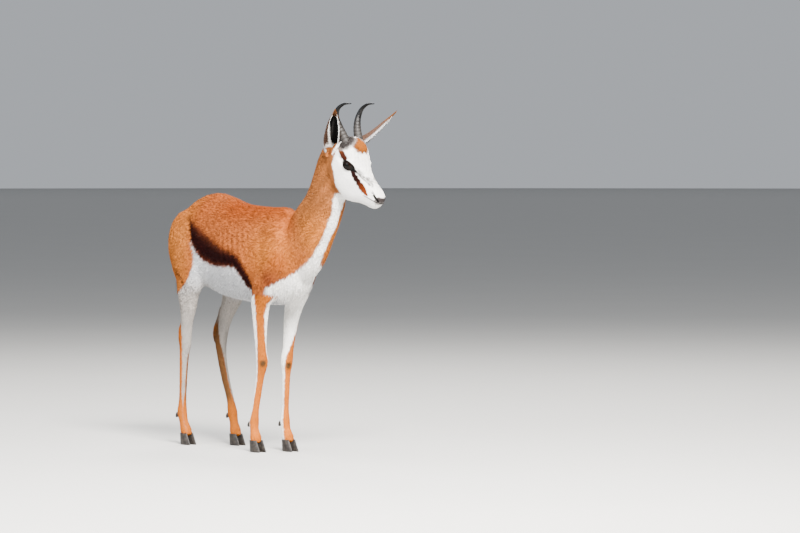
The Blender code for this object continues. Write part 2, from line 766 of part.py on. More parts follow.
def dress_head(parts, nodes, tools):
    """Adds the lids, cuts the mouth and nostrils, and sets in eyes, horns and ears."""
    head_node = parts["head"]
    plain = surface_of(head_node)
    mouth(head_node, tools)
    for side, side_name in ((RIGHT, "right"), (LEFT, "left")):
        boolean(head_node, lids(side, plain, tools), "UNION")
        boolean(head_node, nostril(side, plain, tools), "DIFFERENCE")
        boolean(head_node, eye_gap(side, tools), "DIFFERENCE")
        boolean(head_node, eye(side, EYE_RADIUS + GAP, "socket", tools), "DIFFERENCE")
        parts[f"eye_{side_name}"] = eye(side, EYE_RADIUS, f"eye_{side_name}", nodes)
    clear_of = [inflated(parts[name], GAP, f"clear_of_{name}", tools) for name in ("head", "neck")]
    for side in (RIGHT, LEFT):
        made_horn, made_ear = horn(side, nodes), ear(side, nodes)
        clear_of_horn = inflated(made_horn, GAP, "clear_of_horn", tools)
        boolean(made_ear, clear_of_horn, "DIFFERENCE")
        for made in (made_horn, made_ear):
            for other in clear_of:
                boolean(made, other, "DIFFERENCE")
            parts[made.name] = made


def claw(name, middle, inner, collection):
    """One claw of a hoof: flat towards its neighbour, pointed ahead and flat below."""
    rings = []
    for share in (0.0, 0.12, 0.5, 1.0):
        half_length = CLAW_SOLE[0] + (CLAW_TOP[0] - CLAW_SOLE[0]) * share
        half_width = CLAW_SOLE[1] + (CLAW_TOP[1] - CLAW_SOLE[1]) * share
        if share == 0.0:
            half_length, half_width = half_length - 0.0015, half_width - 0.0012
        ahead = CLAW_TOE * (1 - share)
        points = []
        for angle in np.linspace(0.0, 2 * math.pi, 12, endpoint=False):
            x = half_length * math.cos(angle)
            taper = 1 - 0.34 * max(0.0, math.cos(angle)) ** 2
            y = half_width * math.sin(angle) * taper
            if y * inner > 0:
                y *= 0.62
            points.append(middle + Vector((x + ahead, y, share * (CORONET_Z - GAP))))
        rings.append(points)
    return loft(name, rings, collection)


def feet(parts, nodes, tools):
    """Two claws under each leg, and two dewclaws behind each fetlock."""
    for side, side_name in ((RIGHT, "right"), (LEFT, "left")):
        for leg, rows in (("fore", foreleg_rows(side)), ("hind", hindleg_rows(side))):
            coronet, fetlock = rows[-2], rows[-4]
            cannon = parts[f"{leg}cannon_{side_name}"]
            for place, sign in (("outer", side), ("inner", -side)):
                middle = Vector((coronet[0] + 0.002, coronet[1] + sign * CLAW_SPREAD, 0.0))
                name = f"claw_{leg}_{side_name}_{place}"
                parts[name] = claw(name, middle, -sign, nodes)
                root = Vector((fetlock[0] - 0.010, fetlock[1] + sign * 0.0085, fetlock[2] - 0.006))
                tip = root + Vector((-0.0095, 0.0, -DEWCLAW[2] * 0.75))
                rows_of = [(*root, DEWCLAW[0], DEWCLAW[0]), (*root.lerp(tip, 0.6), 0.0056, 0.0056)]
                rows_of.append((*tip, DEWCLAW[1], DEWCLAW[1]))
                boolean(cannon, tube("dewclaw", rows_of, tools, 4, 8), "UNION")


def tail_lock(root, way, length, width, droop, collection):
    """A flat tapered lock that bends down along its length."""
    rings = []
    side = way.cross(Vector((0, 0, 1))).normalized()
    for share in (0.0, 0.3, 0.6, 0.85, 1.0):
        at = root + way * (length * share) + Vector((0, 0, -droop * share**2))
        along = (way * length + Vector((0, 0, -2 * droop * share))).normalized()
        half = width * (1 - 0.82 * share**1.6)
        rings.append(ring(at, side, along.cross(side), half, half * 0.55, around=6))
    return loft("lock", rings, collection)


def tail(parts, nodes, tools):
    """The tail hanging by the buttock, and a node of overlapping locks on its lower part."""
    rows = [(x, y, z, radius, radius) for x, y, z, radius in TAIL]
    path = smooth_rows(rows, 40)
    split = int(TAIL_SPLIT * len(path))
    upper = tube("tail", rows, nodes, 16, 10)
    cut = (Vector(path[split][:3]), Vector(path[split + 1][:3] - path[split - 1][:3]))
    near, far = half_space("cut", tools, cut), half_space("cut", tools, cut, -GAP)
    tuft = part_off(upper, "tail_tuft", near, far, nodes)
    draw = np.random.default_rng(TAIL_LOCK_SEED)
    ahead = Vector(path[-1][:3] - path[-6][:3]).normalized()
    locks = bpy.data.collections.new("locks")
    tools.children.link(locks)
    for i in range(TAIL_LOCKS):
        share = TAIL_SPLIT + 0.05 + (0.93 - TAIL_SPLIT) * i / (TAIL_LOCKS - 1)
        at = path[int(share * (len(path) - 1))]
        spin = 2.4 * i + draw.uniform(-0.3, 0.3)
        fan = Vector((math.cos(spin) * 0.16, math.sin(spin) * 0.16, -0.10))
        way = (ahead + fan).normalized()
        length = TAIL_LOCK_LENGTH * draw.uniform(0.75, 1.05)
        tail_lock(Vector(at[:3]), way, length, TAIL_LOCK_WIDTH, 0.010, locks)
    fuse = tuft.modifiers.new("locks", "BOOLEAN")
    fuse.operation = "UNION"
    fuse.operand_type = "COLLECTION"
    fuse.collection = locks
    apply_modifiers(tuft)
    keep_largest(tuft)
    for name in ("torso", "hindleg_right", "hindleg_left"):
        clear_of = inflated(parts[name], GAP, "clear_of_body", tools)
        boolean(upper, clear_of, "DIFFERENCE")
        boolean(tuft, clear_of, "DIFFERENCE")
    parts["tail"] = upper
    parts["tail_tuft"] = tuft


def paint(parts):
    """Gives each node a plain material of its main colour."""
    materials = {}
    for name, (colour, roughness) in COLOURS.items():
        material = bpy.data.materials.new(name)
        material.use_nodes = True
        shader = material.node_tree.nodes["Principled BSDF"]
        shader.inputs["Base Color"].default_value = (*colour, 1.0)
        shader.inputs["Roughness"].default_value = roughness
        materials[name] = material
    for name, obj in parts.items():
        kind = name.split("_")[0]
        slot = SLOTS.get(name, SLOTS.get(kind, "coat_tan"))
        obj.data.materials.clear()
        obj.data.materials.append(materials[slot])


def main():
    """Builds the animal and moves its origin under the middle of its bounding box."""
    clear_scene()
    nodes = new_collection("springbok")
    tools = new_collection("tools")
    tools.hide_render = True
    body = flesh(tools)
    parts = part_flesh(body, nodes, tools)
    dress_head(parts, nodes, tools)
    feet(parts, nodes, tools)
    tail(parts, nodes, tools)
    for helper in list(tools.all_objects):
        bpy.data.objects.remove(helper)
    for obj in parts.values():
        obj.data.transform(Matrix.Translation(ORIGIN_SHIFT))
    paint(parts)


main()
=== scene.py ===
"""Looks of a young springbok standing still, life size, in metres.

The animal faces +X, its left side is +Y and +Z is up. One skin covers all the flesh. A coat of
thin tufts lies on it, and horns, eyes, claws and the tail's long hair are pieces of their own.
"""

from __future__ import annotations

import logging
import math
from dataclasses import dataclass, field
from enum import Enum
from typing import Any

import bmesh
import bpy
import numpy as np
from mathutils import Matrix, Vector


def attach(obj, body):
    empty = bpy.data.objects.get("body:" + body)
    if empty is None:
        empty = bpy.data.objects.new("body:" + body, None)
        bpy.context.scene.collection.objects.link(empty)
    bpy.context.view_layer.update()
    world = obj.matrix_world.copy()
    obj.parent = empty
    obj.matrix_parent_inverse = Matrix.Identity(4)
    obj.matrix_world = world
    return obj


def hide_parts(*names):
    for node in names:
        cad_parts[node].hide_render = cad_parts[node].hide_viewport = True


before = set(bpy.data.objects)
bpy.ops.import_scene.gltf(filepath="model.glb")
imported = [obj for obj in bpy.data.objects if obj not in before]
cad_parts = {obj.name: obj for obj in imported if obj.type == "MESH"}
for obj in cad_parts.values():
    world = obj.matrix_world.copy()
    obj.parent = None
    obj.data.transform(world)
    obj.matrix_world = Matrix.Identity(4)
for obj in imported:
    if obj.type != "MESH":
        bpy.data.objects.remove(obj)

log = logging.getLogger("springbok")

# The stations are laid out from the floor point below the withers, and every mesh is moved by
# this much as it is made, to lie in the frame's own axes.
ORIGIN_SHIFT = np.array((0.0520, -0.0361, 0.0))
TURN = 2 * math.pi
SEED = 11


class Side(Enum):
    """A side of the body, by the sign of Y."""

    RIGHT = -1
    LEFT = 1

    @property
    def word(self) -> str:
        """The side's name, as the frame's nodes end."""
        return self.name.lower()


class Wire:
    """A shader socket. Arithmetic on wires and numbers adds the Math nodes for it."""

    def __init__(self, graph: Graph, socket: bpy.types.NodeSocket) -> None:
        """Wraps an output socket of that graph."""
        self.graph = graph
        self.socket = socket

    def _math(self, operation: str, *values: Any) -> Wire:
        """Adds one Math node.

        Args:
            operation: The node's operation.
            *values: Its inputs, wires or numbers, in order.

        Returns:
            The wire that leaves the node.
        """
        return self.graph.node("ShaderNodeMath", {"operation": operation}, dict(enumerate(values)))

    def __add__(self, other: Any) -> Wire:
        """Adds a wire or a number."""
        return self._math("ADD", self, other)

    __radd__ = __add__

    def __mul__(self, other: Any) -> Wire:
        """Multiplies by a wire or a number."""
        return self._math("MULTIPLY", self, other)

    __rmul__ = __mul__

    def __sub__(self, other: Any) -> Wire:
        """Subtracts a wire or a number."""
        return self._math("SUBTRACT", self, other)

    def __rsub__(self, other: Any) -> Wire:
        """Subtracts this from a wire or a number."""
        return self._math("SUBTRACT", other, self)

    def __pow__(self, other: Any) -> Wire:
        """Raises to a power."""
        return self._math("POWER", self, other)

    def scaled(self, factors: tuple[float, float, float]) -> Wire:
        """Stretches a vector along each axis."""
        settings = {"operation": "MULTIPLY"}
        return self.graph.node("ShaderNodeVectorMath", settings, {0: self, 1: factors})


class Graph:
    """The node tree of one material, with its Principled shader."""

    def __init__(self, name: str) -> None:
        """Makes the material and finds its shader."""
        self.material = bpy.data.materials.new(name)
        self.material.use_nodes = True
        self.tree = self.material.node_tree
        self.shader = self.tree.nodes["Principled BSDF"]

    def node(self, kind: str, settings: dict[str, Any], inputs: dict[Any, Any], output: int = 0) -> Wire:
        """Adds any node.

        Args:
            kind: The node's type.
            settings: Its own settings, such as an operation. A ramp takes "stops", each a place
                and a colour.
            inputs: Values or wires by the name or number of the socket.
            output: Which of its outputs to return.

        Returns:
            The wire that leaves the node.
        """
        made = self.tree.nodes.new(kind)
        for name, value in settings.items():
            if name == "stops":
                elements = made.color_ramp.elements
                while len(elements) < len(value):
                    elements.new(0.5)
                for element, (place, colour) in zip(elements, value):
                    element.position = place
                    element.color = (*colour, 1.0)
            else:
                setattr(made, name, value)
        for name, value in inputs.items():
            self.feed(made.inputs[name], value)
        return Wire(self, made.outputs[output])

    def feed(self, socket: bpy.types.NodeSocket, value: Any) -> None:
        """Links a wire to a socket, or sets the socket's own value."""
        if isinstance(value, Wire):
            self.tree.links.new(value.socket, socket)
        elif socket.type == "RGBA" and len(value) == 3:
            socket.default_value = (*value, 1.0)
        else:
            socket.default_value = value

    def attribute(self, name: str, as_colour: bool = True) -> Wire:
        """A mesh attribute, as a colour or as a number."""
        return self.node("ShaderNodeAttribute", {"attribute_name": name}, {}, 0 if as_colour else 2)

    def place(self) -> Wire:
        """The place on the object, in metres."""
        return self.node("ShaderNodeTexCoord", {}, {}, 3)

    def noise(self, where: Wire, scale: float, detail: float = 3.0, roughness: float = 0.55) -> Wire:
        """Smooth random values about 0.5, finer with a larger scale."""
        inputs = {"Vector": where, "Scale": scale, "Detail": detail, "Roughness": roughness}
        return self.node("ShaderNodeTexNoise", {}, inputs)

    def mixed(self, factor: Any, first: Any, second: Any, blend: str = "MIX") -> Wire:
        """A colour between two colours, or one blended over the other."""
        settings = {"data_type": "RGBA", "blend_type": blend}
        return self.node("ShaderNodeMix", settings, {0: factor, 6: first, 7: second}, 2)

    def ramp(self, value: Wire, stops: list[tuple[float, tuple[float, float, float]]]) -> Wire:
        """A colour read from stops by a value."""
        return self.node("ShaderNodeValToRGB", {"stops": stops}, {"Fac": value})

    def bump(self, height: Wire, distance: float, strength: float = 1.0) -> Wire:
        """A normal raised by a height, over a distance in metres."""
        inputs = {"Height": height, "Distance": distance, "Strength": strength}
        return self.node("ShaderNodeBump", {}, inputs)

    def dress(self, **inputs: Any) -> bpy.types.Material:
        """Feeds the shader, each input by its name with _ for a space, and returns the material."""
        for name, value in inputs.items():
            self.feed(self.shader.inputs[name.replace("_", " ")], value)
        return self.material


@dataclass(frozen=True)
class CoatFinish:
    """Fur: the colour painted on the mesh, broken up by soft patches."""

    name: str
    roughness: float = 0.78
    patch_scale: float = 38.0
    patch_depth: float = 0.14
    sheen: float = 0.0

    def material(self) -> bpy.types.Material:
        """Builds the finish."""
        graph = Graph(self.name)
        patches = graph.noise(graph.place(), self.patch_scale) * self.patch_depth
        shade = patches + (1.0 - self.patch_depth / 2)
        painted = graph.attribute("coat")
        colour = graph.mixed(1.0, painted, shade, "MULTIPLY")
        return graph.dress(
            Base_Color=colour,
            Roughness=self.roughness,
            Sheen_Weight=self.sheen,
            Specular_IOR_Level=0.04,
        )


@dataclass(frozen=True)
class SkinFinish:
    """Short fur lying flat on the skin: streaks along the lie, and bare places that shine."""

    name: str = "short_fur"
    along: float = 130.0
    across: float = 900.0
    streak_depth: float = 0.30
    relief: float = 0.0007

    def material(self) -> bpy.types.Material:
        """Builds the finish."""
        graph = Graph(self.name)
        lie = graph.attribute("grain").scaled((self.along, self.across, 1.0))
        streaks = graph.noise(lie, 1.0, 4.0, 0.6)
        shade = streaks * (2 * self.streak_depth) + (1.0 - self.streak_depth)
        colour = graph.mixed(1.0, graph.attribute("coat"), shade, "MULTIPLY")
        bare = graph.attribute("bare", as_colour=False)
        pores = graph.noise(graph.place(), 1600.0, 2.0)
        height = streaks * (1.0 - bare) + pores * bare * 0.5
        return graph.dress(
            Base_Color=colour,
            Roughness=0.80 - bare * 0.45,
            Normal=graph.bump(height, self.relief),
            Specular_IOR_Level=0.05,
        )


@dataclass(frozen=True)
class HornFinish:
    """Ringed horn, grey and dull at the base and black and smooth at the tip."""

    name: str = "horn"
    base: tuple[float, float, float] = (0.020, 0.0175, 0.0158)
    tip: tuple[float, float, float] = (0.0012, 0.0011, 0.0012)

    def material(self) -> bpy.types.Material:
        """Builds the finish from the share of the horn's length and the rings' height."""
        graph = Graph(self.name)
        share = graph.attribute("share", as_colour=False)
        ridge = graph.attribute("ridge", as_colour=False)
        grain = graph.noise(graph.attribute("grain").scaled((60.0, 900.0, 1.0)), 1.0, 5.0, 0.65)
        # Painted shade: the horn is darker in the grooves between its rings.
        dark = graph.mixed(ridge, tuple(0.35 * part for part in self.base), self.base)
        worn = graph.mixed(1.0, dark, grain * 0.9 + 0.55, "MULTIPLY")
        blend = graph.ramp(share + grain * 0.16 - 0.08, [(0.22, (0, 0, 0)), (0.52, (1, 1, 1))])
        colour = graph.mixed(blend, worn, self.tip)
        rough = 0.54 - share * 0.36 + grain * 0.08
        return graph.dress(
            Base_Color=colour,
            Roughness=rough,
            Normal=graph.bump(grain, 0.0006),
            Specular_IOR_Level=0.22,
        )


@dataclass(frozen=True)
class HoofFinish:
    """Dark hoof horn with growth lines across it and scuffs near the ground."""

    name: str = "hoof"
    colour: tuple[float, float, float] = (0.010, 0.008, 0.007)
    worn: tuple[float, float, float] = (0.045, 0.037, 0.030)

    def material(self) -> bpy.types.Material:
        """Builds the finish."""
        graph = Graph(self.name)
        place = graph.place()
        growth = graph.noise(place.scaled((60.0, 60.0, 700.0)), 1.0, 3.0)
        fibres = graph.noise(place.scaled((900.0, 900.0, 40.0)), 1.0, 3.0)
        scuffs = graph.noise(place, 130.0, 5.0, 0.7)
        mask = graph.ramp(scuffs + growth * 0.2, [(0.56, (0, 0, 0)), (0.78, (1, 1, 1))])
        colour = graph.mixed(mask, self.colour, self.worn)
        return graph.dress(
            Base_Color=colour,
            Roughness=0.34 + scuffs * 0.3,
            Normal=graph.bump(growth + fibres * 0.4, 0.0006),
            Specular_IOR_Level=0.25,
        )


@dataclass(frozen=True)
class EyeFinish:
    """A wet, almost black eye."""

    name: str = "eye"

    def material(self) -> bpy.types.Material:
        """Builds the finish over the painted iris."""
        graph = Graph(self.name)
        return graph.dress(
            Base_Color=graph.attribute("coat"),
            Roughness=0.12,
            Coat_Weight=0.04,
            Coat_Roughness=0.03,
            Specular_IOR_Level=0.08,
        )


@dataclass(frozen=True)
class FloorFinish:
    """A pale matt studio floor."""

    name: str = "studio_floor"
    colour: tuple[float, float, float] = (0.43, 0.425, 0.41)

    def material(self) -> bpy.types.Material:
        """Builds the finish."""
        graph = Graph(self.name)
        cloudy = graph.noise(graph.place(), 1.3, 4.0) * 0.06 + 0.97
        colour = graph.mixed(1.0, self.colour, cloudy, "MULTIPLY")
        return graph.dress(Base_Color=colour, Roughness=0.9)


def ramp(value: np.ndarray, low: float, high: float) -> np.ndarray:
    """Rises smoothly from 0 at low to 1 at high."""
    t = np.clip((value - low) / (high - low), 0.0, 1.0)
    return t * t * (3 - 2 * t)


def unit(vectors: np.ndarray) -> np.ndarray:
    """Vectors of length one, along the last axis."""
    return vectors / np.maximum(np.linalg.norm(vectors, axis=-1, keepdims=True), 1e-9)


def through(at: np.ndarray, along: np.ndarray, rows: np.ndarray) -> np.ndarray:
    """Reads a smooth curve through rows.

    Between two rows it is the cubic whose slopes at its ends are the rows' own, each the
    weighted mean of the slopes to the row before and the row after.

    Args:
        at: The places to read, in the measure of `along`.
        along: The measure of each row, rising.
        rows: Values, one row for each measure.

    Returns:
        One row for each place.
    """
    slope = np.gradient(rows, along, axis=0)
    low = np.clip(np.searchsorted(along, at, side="right") - 1, 0, len(rows) - 2)
    span = (along[low + 1] - along[low])[:, None]
    t = (np.clip(at, along[0], along[-1])[:, None] - along[low][:, None]) / span
    return (
        (2 * t**3 - 3 * t**2 + 1) * rows[low]
        + (t**3 - 2 * t**2 + t) * span * slope[low]
        + (3 * t**2 - 2 * t**3) * rows[low + 1]
        + (t**3 - t**2) * span * slope[low + 1]
    )


def smooth_rows(rows: Any, count: int) -> np.ndarray:
    """Reads `count` rows evenly along the smooth curve through rows that start with a place."""
    rows = np.array(rows, float)
    step = np.linalg.norm(np.diff(rows[:, :3], axis=0), axis=1)
    along = np.concatenate([[0.0], np.cumsum(step)])
    return through(np.linspace(0.0, along[-1], count), along, rows)


def oval(around: int, bias: Any = 0.0, square: float = 2.0) -> tuple[np.ndarray, np.ndarray]:
    """Sideways and upward shares of an oval section.

    Each is the cosine or sine of the angle to the power two over `square`, with its sign. The
    sideways share grows by `bias` times the sine, so that the section is wider above.

    Args:
        around: The number of points.
        bias: How much wider the section is above than below.
        square: 2 for an oval, more for a squarer one.

    Returns:
        The sideways and the upward shares.
    """
    angle = np.linspace(0.0, TURN, around, endpoint=False)
    cosine, sine = np.cos(angle), np.sin(angle)
    sideways = np.sign(cosine) * np.abs(cosine) ** (2 / square) * (1 + bias * sine)
    return sideways, np.sign(sine) * np.abs(sine) ** (2 / square)


def tube_rings(rows: np.ndarray, around: int) -> np.ndarray:
    """Oval rings square to a path, level across it.

    A ring's point is the path's point, plus the half width times the cosine of its angle along
    the level direction, plus the half depth times the sine along the third direction.

    Args:
        rows: x, y, z, half depth and half width along the path.
        around: Points on each ring.

    Returns:
        The rings, as rows by points by 3.
    """
    path = rows[:, :3]
    heading = unit(np.gradient(path, axis=0))
    across = unit(np.array((0.0, 1.0, 0.0)) - heading * heading[:, 1:2])
    upward = np.cross(heading, across)
    sideways, upwards = oval(around)
    return (
        path[:, None]
        + across[:, None] * (rows[:, None, 4:5] * sideways[None, :, None])
        + upward[:, None] * (rows[:, None, 3:4] * upwards[None, :, None])
    )


@dataclass
class Surface:
    """Points and triangles of one surface."""

    points: np.ndarray
    faces: np.ndarray

    @classmethod
    def closed_tube(cls, rings: np.ndarray) -> Surface:
        """A tube through rings, closed at both ends by a fan to the ring's middle.

        Args:
            rings: Rows by points by 3.

        Returns:
            The surface, with its faces turned outwards.
        """
        rows, around = rings.shape[:2]
        low = (np.arange(rows - 1) * around)[:, None]
        i = np.arange(around)[None, :]
        j = (i + 1) % around
        a, b, c, d = low + i, low + j, low + around + j, low + around + i
        sides = np.concatenate([np.stack([a, b, c], -1).reshape(-1, 3), np.stack([a, c, d], -1).reshape(-1, 3)])
        first, last = rows * around, rows * around + 1
        i, j = i[0], j[0]
        top = (rows - 1) * around
        caps = np.concatenate(
            [
                np.stack([np.full(around, first), j, i], -1),
                np.stack([np.full(around, last), top + i, top + j], -1),
            ]
        )
        ends = np.stack([rings[0].mean(axis=0), rings[-1].mean(axis=0)])
        made = cls(np.concatenate([rings.reshape(-1, 3), ends]), np.concatenate([sides, caps]))
        return made.outwards()

    @classmethod
    def joined(cls, surfaces: list[Surface]) -> Surface:
        """All the surfaces as one, as they lie."""
        shifts = np.cumsum([0] + [len(one.points) for one in surfaces[:-1]])
        faces = [one.faces + shift for one, shift in zip(surfaces, shifts)]
        return cls(np.concatenate([one.points for one in surfaces]), np.concatenate(faces))

    @classmethod
    def of(cls, mesh: bpy.types.Mesh) -> Surface:
        """The triangles of a mesh."""
        mesh.calc_loop_triangles()
        points = np.empty(len(mesh.vertices) * 3)
        mesh.vertices.foreach_get("co", points)
        faces = np.empty(len(mesh.loop_triangles) * 3, np.int32)
        mesh.loop_triangles.foreach_get("vertices", faces)
        return cls(points.reshape(-1, 3), faces.reshape(-1, 3).astype(np.int64))

    def outwards(self) -> Surface:
        """The same surface, turned round if its faces enclose a negative volume."""
        a, b, c = (self.points[self.faces[:, k]] for k in range(3))
        if np.einsum("ij,ij->", a, np.cross(b, c)) < 0:
            return Surface(self.points, self.faces[:, ::-1])
        return self

    def normals(self) -> np.ndarray:
        """The outward direction at each point, the mean of its faces by their areas."""
        a, b, c = (self.points[self.faces[:, k]] for k in range(3))
        facing = np.cross(b - a, c - a)
        total = np.zeros_like(self.points)
        for k in range(3):
            for axis in range(3):
                total[:, axis] += np.bincount(self.faces[:, k], facing[:, axis], len(self.points))
        return unit(total)

    def largest(self) -> Surface:
        """The connected piece with the most points."""
        label = np.arange(len(self.points))
        ends = np.concatenate([self.faces[:, [0, 1]], self.faces[:, [1, 2]]])
        while True:
            low = np.minimum(label[ends[:, 0]], label[ends[:, 1]])
            fresh = label.copy()
            np.minimum.at(fresh, ends[:, 0], low)
            np.minimum.at(fresh, ends[:, 1], low)
            fresh = fresh[fresh]
            if np.array_equal(fresh, label):
                break
            label = fresh
        kept = label == np.bincount(label).argmax()
        index = np.cumsum(kept) - 1
        return Surface(self.points[kept], index[self.faces[kept[self.faces[:, 0]]]])

    def relaxed(self, rounds: int, weight: np.ndarray) -> Surface:
        """Moves each point, round by round, towards the mean of its neighbours by its weight."""
        ends = np.concatenate([self.faces[:, [0, 1]], self.faces[:, [1, 2]], self.faces[:, [2, 0]]])
        ends = np.concatenate([ends, ends[:, ::-1]])
        points, size = self.points.copy(), len(self.points)
        count = np.bincount(ends[:, 0], minlength=size)[:, None]
        for _ in range(rounds):
            total = np.stack([np.bincount(ends[:, 0], points[ends[:, 1], k], size) for k in range(3)], 1)
            points += weight[:, None] * (total / count - points)
        return Surface(points, self.faces)

    def mesh(self, name: str, shift: np.ndarray = ORIGIN_SHIFT) -> bpy.types.Mesh:
        """The surface as a mesh, moved by the shift."""
        made = bpy.data.meshes.new(name)
        made.vertices.add(len(self.points))
        made.vertices.foreach_set("co", (self.points + shift).astype(np.float32).ravel())
        made.loops.add(self.faces.size)
        made.loops.foreach_set("vertex_index", self.faces.astype(np.int32).ravel())
        made.polygons.add(len(self.faces))
        made.polygons.foreach_set("loop_start", np.arange(0, self.faces.size, 3, dtype=np.int32))
        made.update(calc_edges=True)
        return made


@dataclass
class Piece:
    """One finished object: its surface, what is painted on it and its finish."""

    name: str
    surface: Surface
    finish: bpy.types.Material
    slot: str
    replaces: tuple[str, ...] = ()
    painted: dict[str, np.ndarray] = field(default_factory=dict)
    chart: np.ndarray | None = None
    smooth: bool = True

    def place(self) -> bpy.types.Object:
        """Puts the piece in the scene and ties it to the frame.

        A painted value of one column is stored as a number, of three as a vector, and "coat" as
        a colour. A chart is the map that a coat piece is baked on.

        Returns:
            The object.
        """
        mesh = self.surface.mesh(self.name)
        for name, values in self.painted.items():
            if name == "coat":
                layer = mesh.attributes.new(name, "FLOAT_COLOR", "POINT")
                rgba = np.concatenate([values, np.ones((len(values), 1))], axis=1)
                layer.data.foreach_set("color", rgba.astype(np.float32).ravel())
            elif values.ndim == 2:
                layer = mesh.attributes.new(name, "FLOAT_VECTOR", "POINT")
                layer.data.foreach_set("vector", values.astype(np.float32).ravel())
            else:
                layer = mesh.attributes.new(name, "FLOAT", "POINT")
                layer.data.foreach_set("value", values.astype(np.float32))
        if self.chart is not None:
            layer = mesh.uv_layers.new(name="OFBake")
            corners = self.chart[self.surface.faces.ravel()]
            layer.data.foreach_set("uv", corners.astype(np.float32).ravel())
        mesh.polygons.foreach_set("use_smooth", np.full(len(mesh.polygons), self.smooth))
        mesh.materials.append(self.finish)
        made = bpy.data.objects.new(self.name, mesh)
        bpy.context.scene.collection.objects.link(made)
        if self.replaces:
            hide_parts(*self.replaces)
        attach(made, "root")
        log.info("%s: %d triangles", self.name, len(self.surface.faces))
        return made


@dataclass(frozen=True)
class HeadFrame:
    """The head's own axes: F towards the nose, L to the left and U up from the nose line."""

    middle: tuple[float, float, float] = (0.351, 0.018, 0.880)
    pitch: float = math.radians(45)
    yaw: float = math.radians(12)

    def axes(self) -> np.ndarray:
        """The three directions as rows."""
        heading = np.array((math.cos(self.yaw), math.sin(self.yaw), 0.0))
        up = np.array((0.0, 0.0, 1.0))
        forward = heading * math.cos(self.pitch) - up * math.sin(self.pitch)
        upward = heading * math.sin(self.pitch) + up * math.cos(self.pitch)
        return np.stack([forward, (-math.sin(self.yaw), math.cos(self.yaw), 0.0), upward])

    def point(self, place: Any) -> np.ndarray:
        """Places given by F, L and U, in the body's axes."""
        return np.asarray(place, float) @ self.axes() + np.array(self.middle)

    def vector(self, way: Any) -> np.ndarray:
        """Directions given by F, L and U, in the body's axes."""
        return np.asarray(way, float) @ self.axes()

    def read(self, points: np.ndarray) -> np.ndarray:
        """F, L and U of points of the body."""
        return (points - np.array(self.middle)) @ self.axes().T

    def upright(self, place: Any) -> np.ndarray:
        """Places given ahead, to the left and above the eyes, by the way the head faces."""
        turn = np.array(Matrix.Rotation(self.yaw, 3, "Z"))
        return np.asarray(place, float) @ turn.T + np.array(self.middle)


HEAD = HeadFrame()


@dataclass(frozen=True)
class EyePlace:
    """Where an eye sits in the head, which way it looks and how wide its lids open."""

    at: tuple[float, float, float] = (-0.0006, 0.0282, 0.0016)
    radius: float = 0.0230
    out: tuple[float, float, float] = (0.25, 1.0, 0.10)
    tilt: float = math.radians(12)
    opening: tuple[float, float] = (0.0205, 0.0108)
    lid: float = 0.0013

    def frame(self, side: Side) -> tuple[np.ndarray, np.ndarray, np.ndarray, np.ndarray]:
        """The eyeball's middle, the way it looks, its long axis and its short one."""
        middle = HEAD.point((self.at[0], side.value * self.at[1], self.at[2]))
        out = unit(HEAD.vector((self.out[0], side.value * self.out[1], self.out[2])))
        level = HEAD.vector((math.cos(self.tilt), 0.0, math.sin(self.tilt)))
        level = unit(level - out * level.dot(out))
        return middle, out, level, np.cross(out, level)

    def read(self, points: np.ndarray, side: Side) -> tuple[np.ndarray, np.ndarray, np.ndarray]:
        """Places by an eye.

        Args:
            points: Points of the body.
            side: Which eye.

        The angle off the way that the eye looks, times the ball's radius, is the arc from the
        middle of the lids, so that a place keeps its reading as it moves out from the ball.

        Returns:
            How far out each is, in openings, where 1 is the lids' edge; its share of the long
            half axis, positive towards the nose; and its share of the short one, positive above.
        """
        middle, out, level, tall = self.frame(side)
        off = points - middle
        side_way = np.hypot(off @ level, off @ tall)
        arc = np.arctan2(side_way, off @ out) * self.radius / np.maximum(side_way, 1e-9)
        a = off @ level * arc / self.opening[0]
        b = off @ tall * arc / self.opening[1]
        if HEAD.axes()[2] @ tall < 0:
            b = -b
        pointed = np.where(a > 0, 0.14 * a * a, 0.12 * a * a)
        reach = np.sqrt(a * a + (np.abs(b) * (1 + pointed * 2.2)) ** 2)
        behind = (off @ out < 0) | (np.linalg.norm(off, axis=1) > 2.2 * self.radius)
        return np.where(behind, 9.0, reach), a, b


EYE = EyePlace()


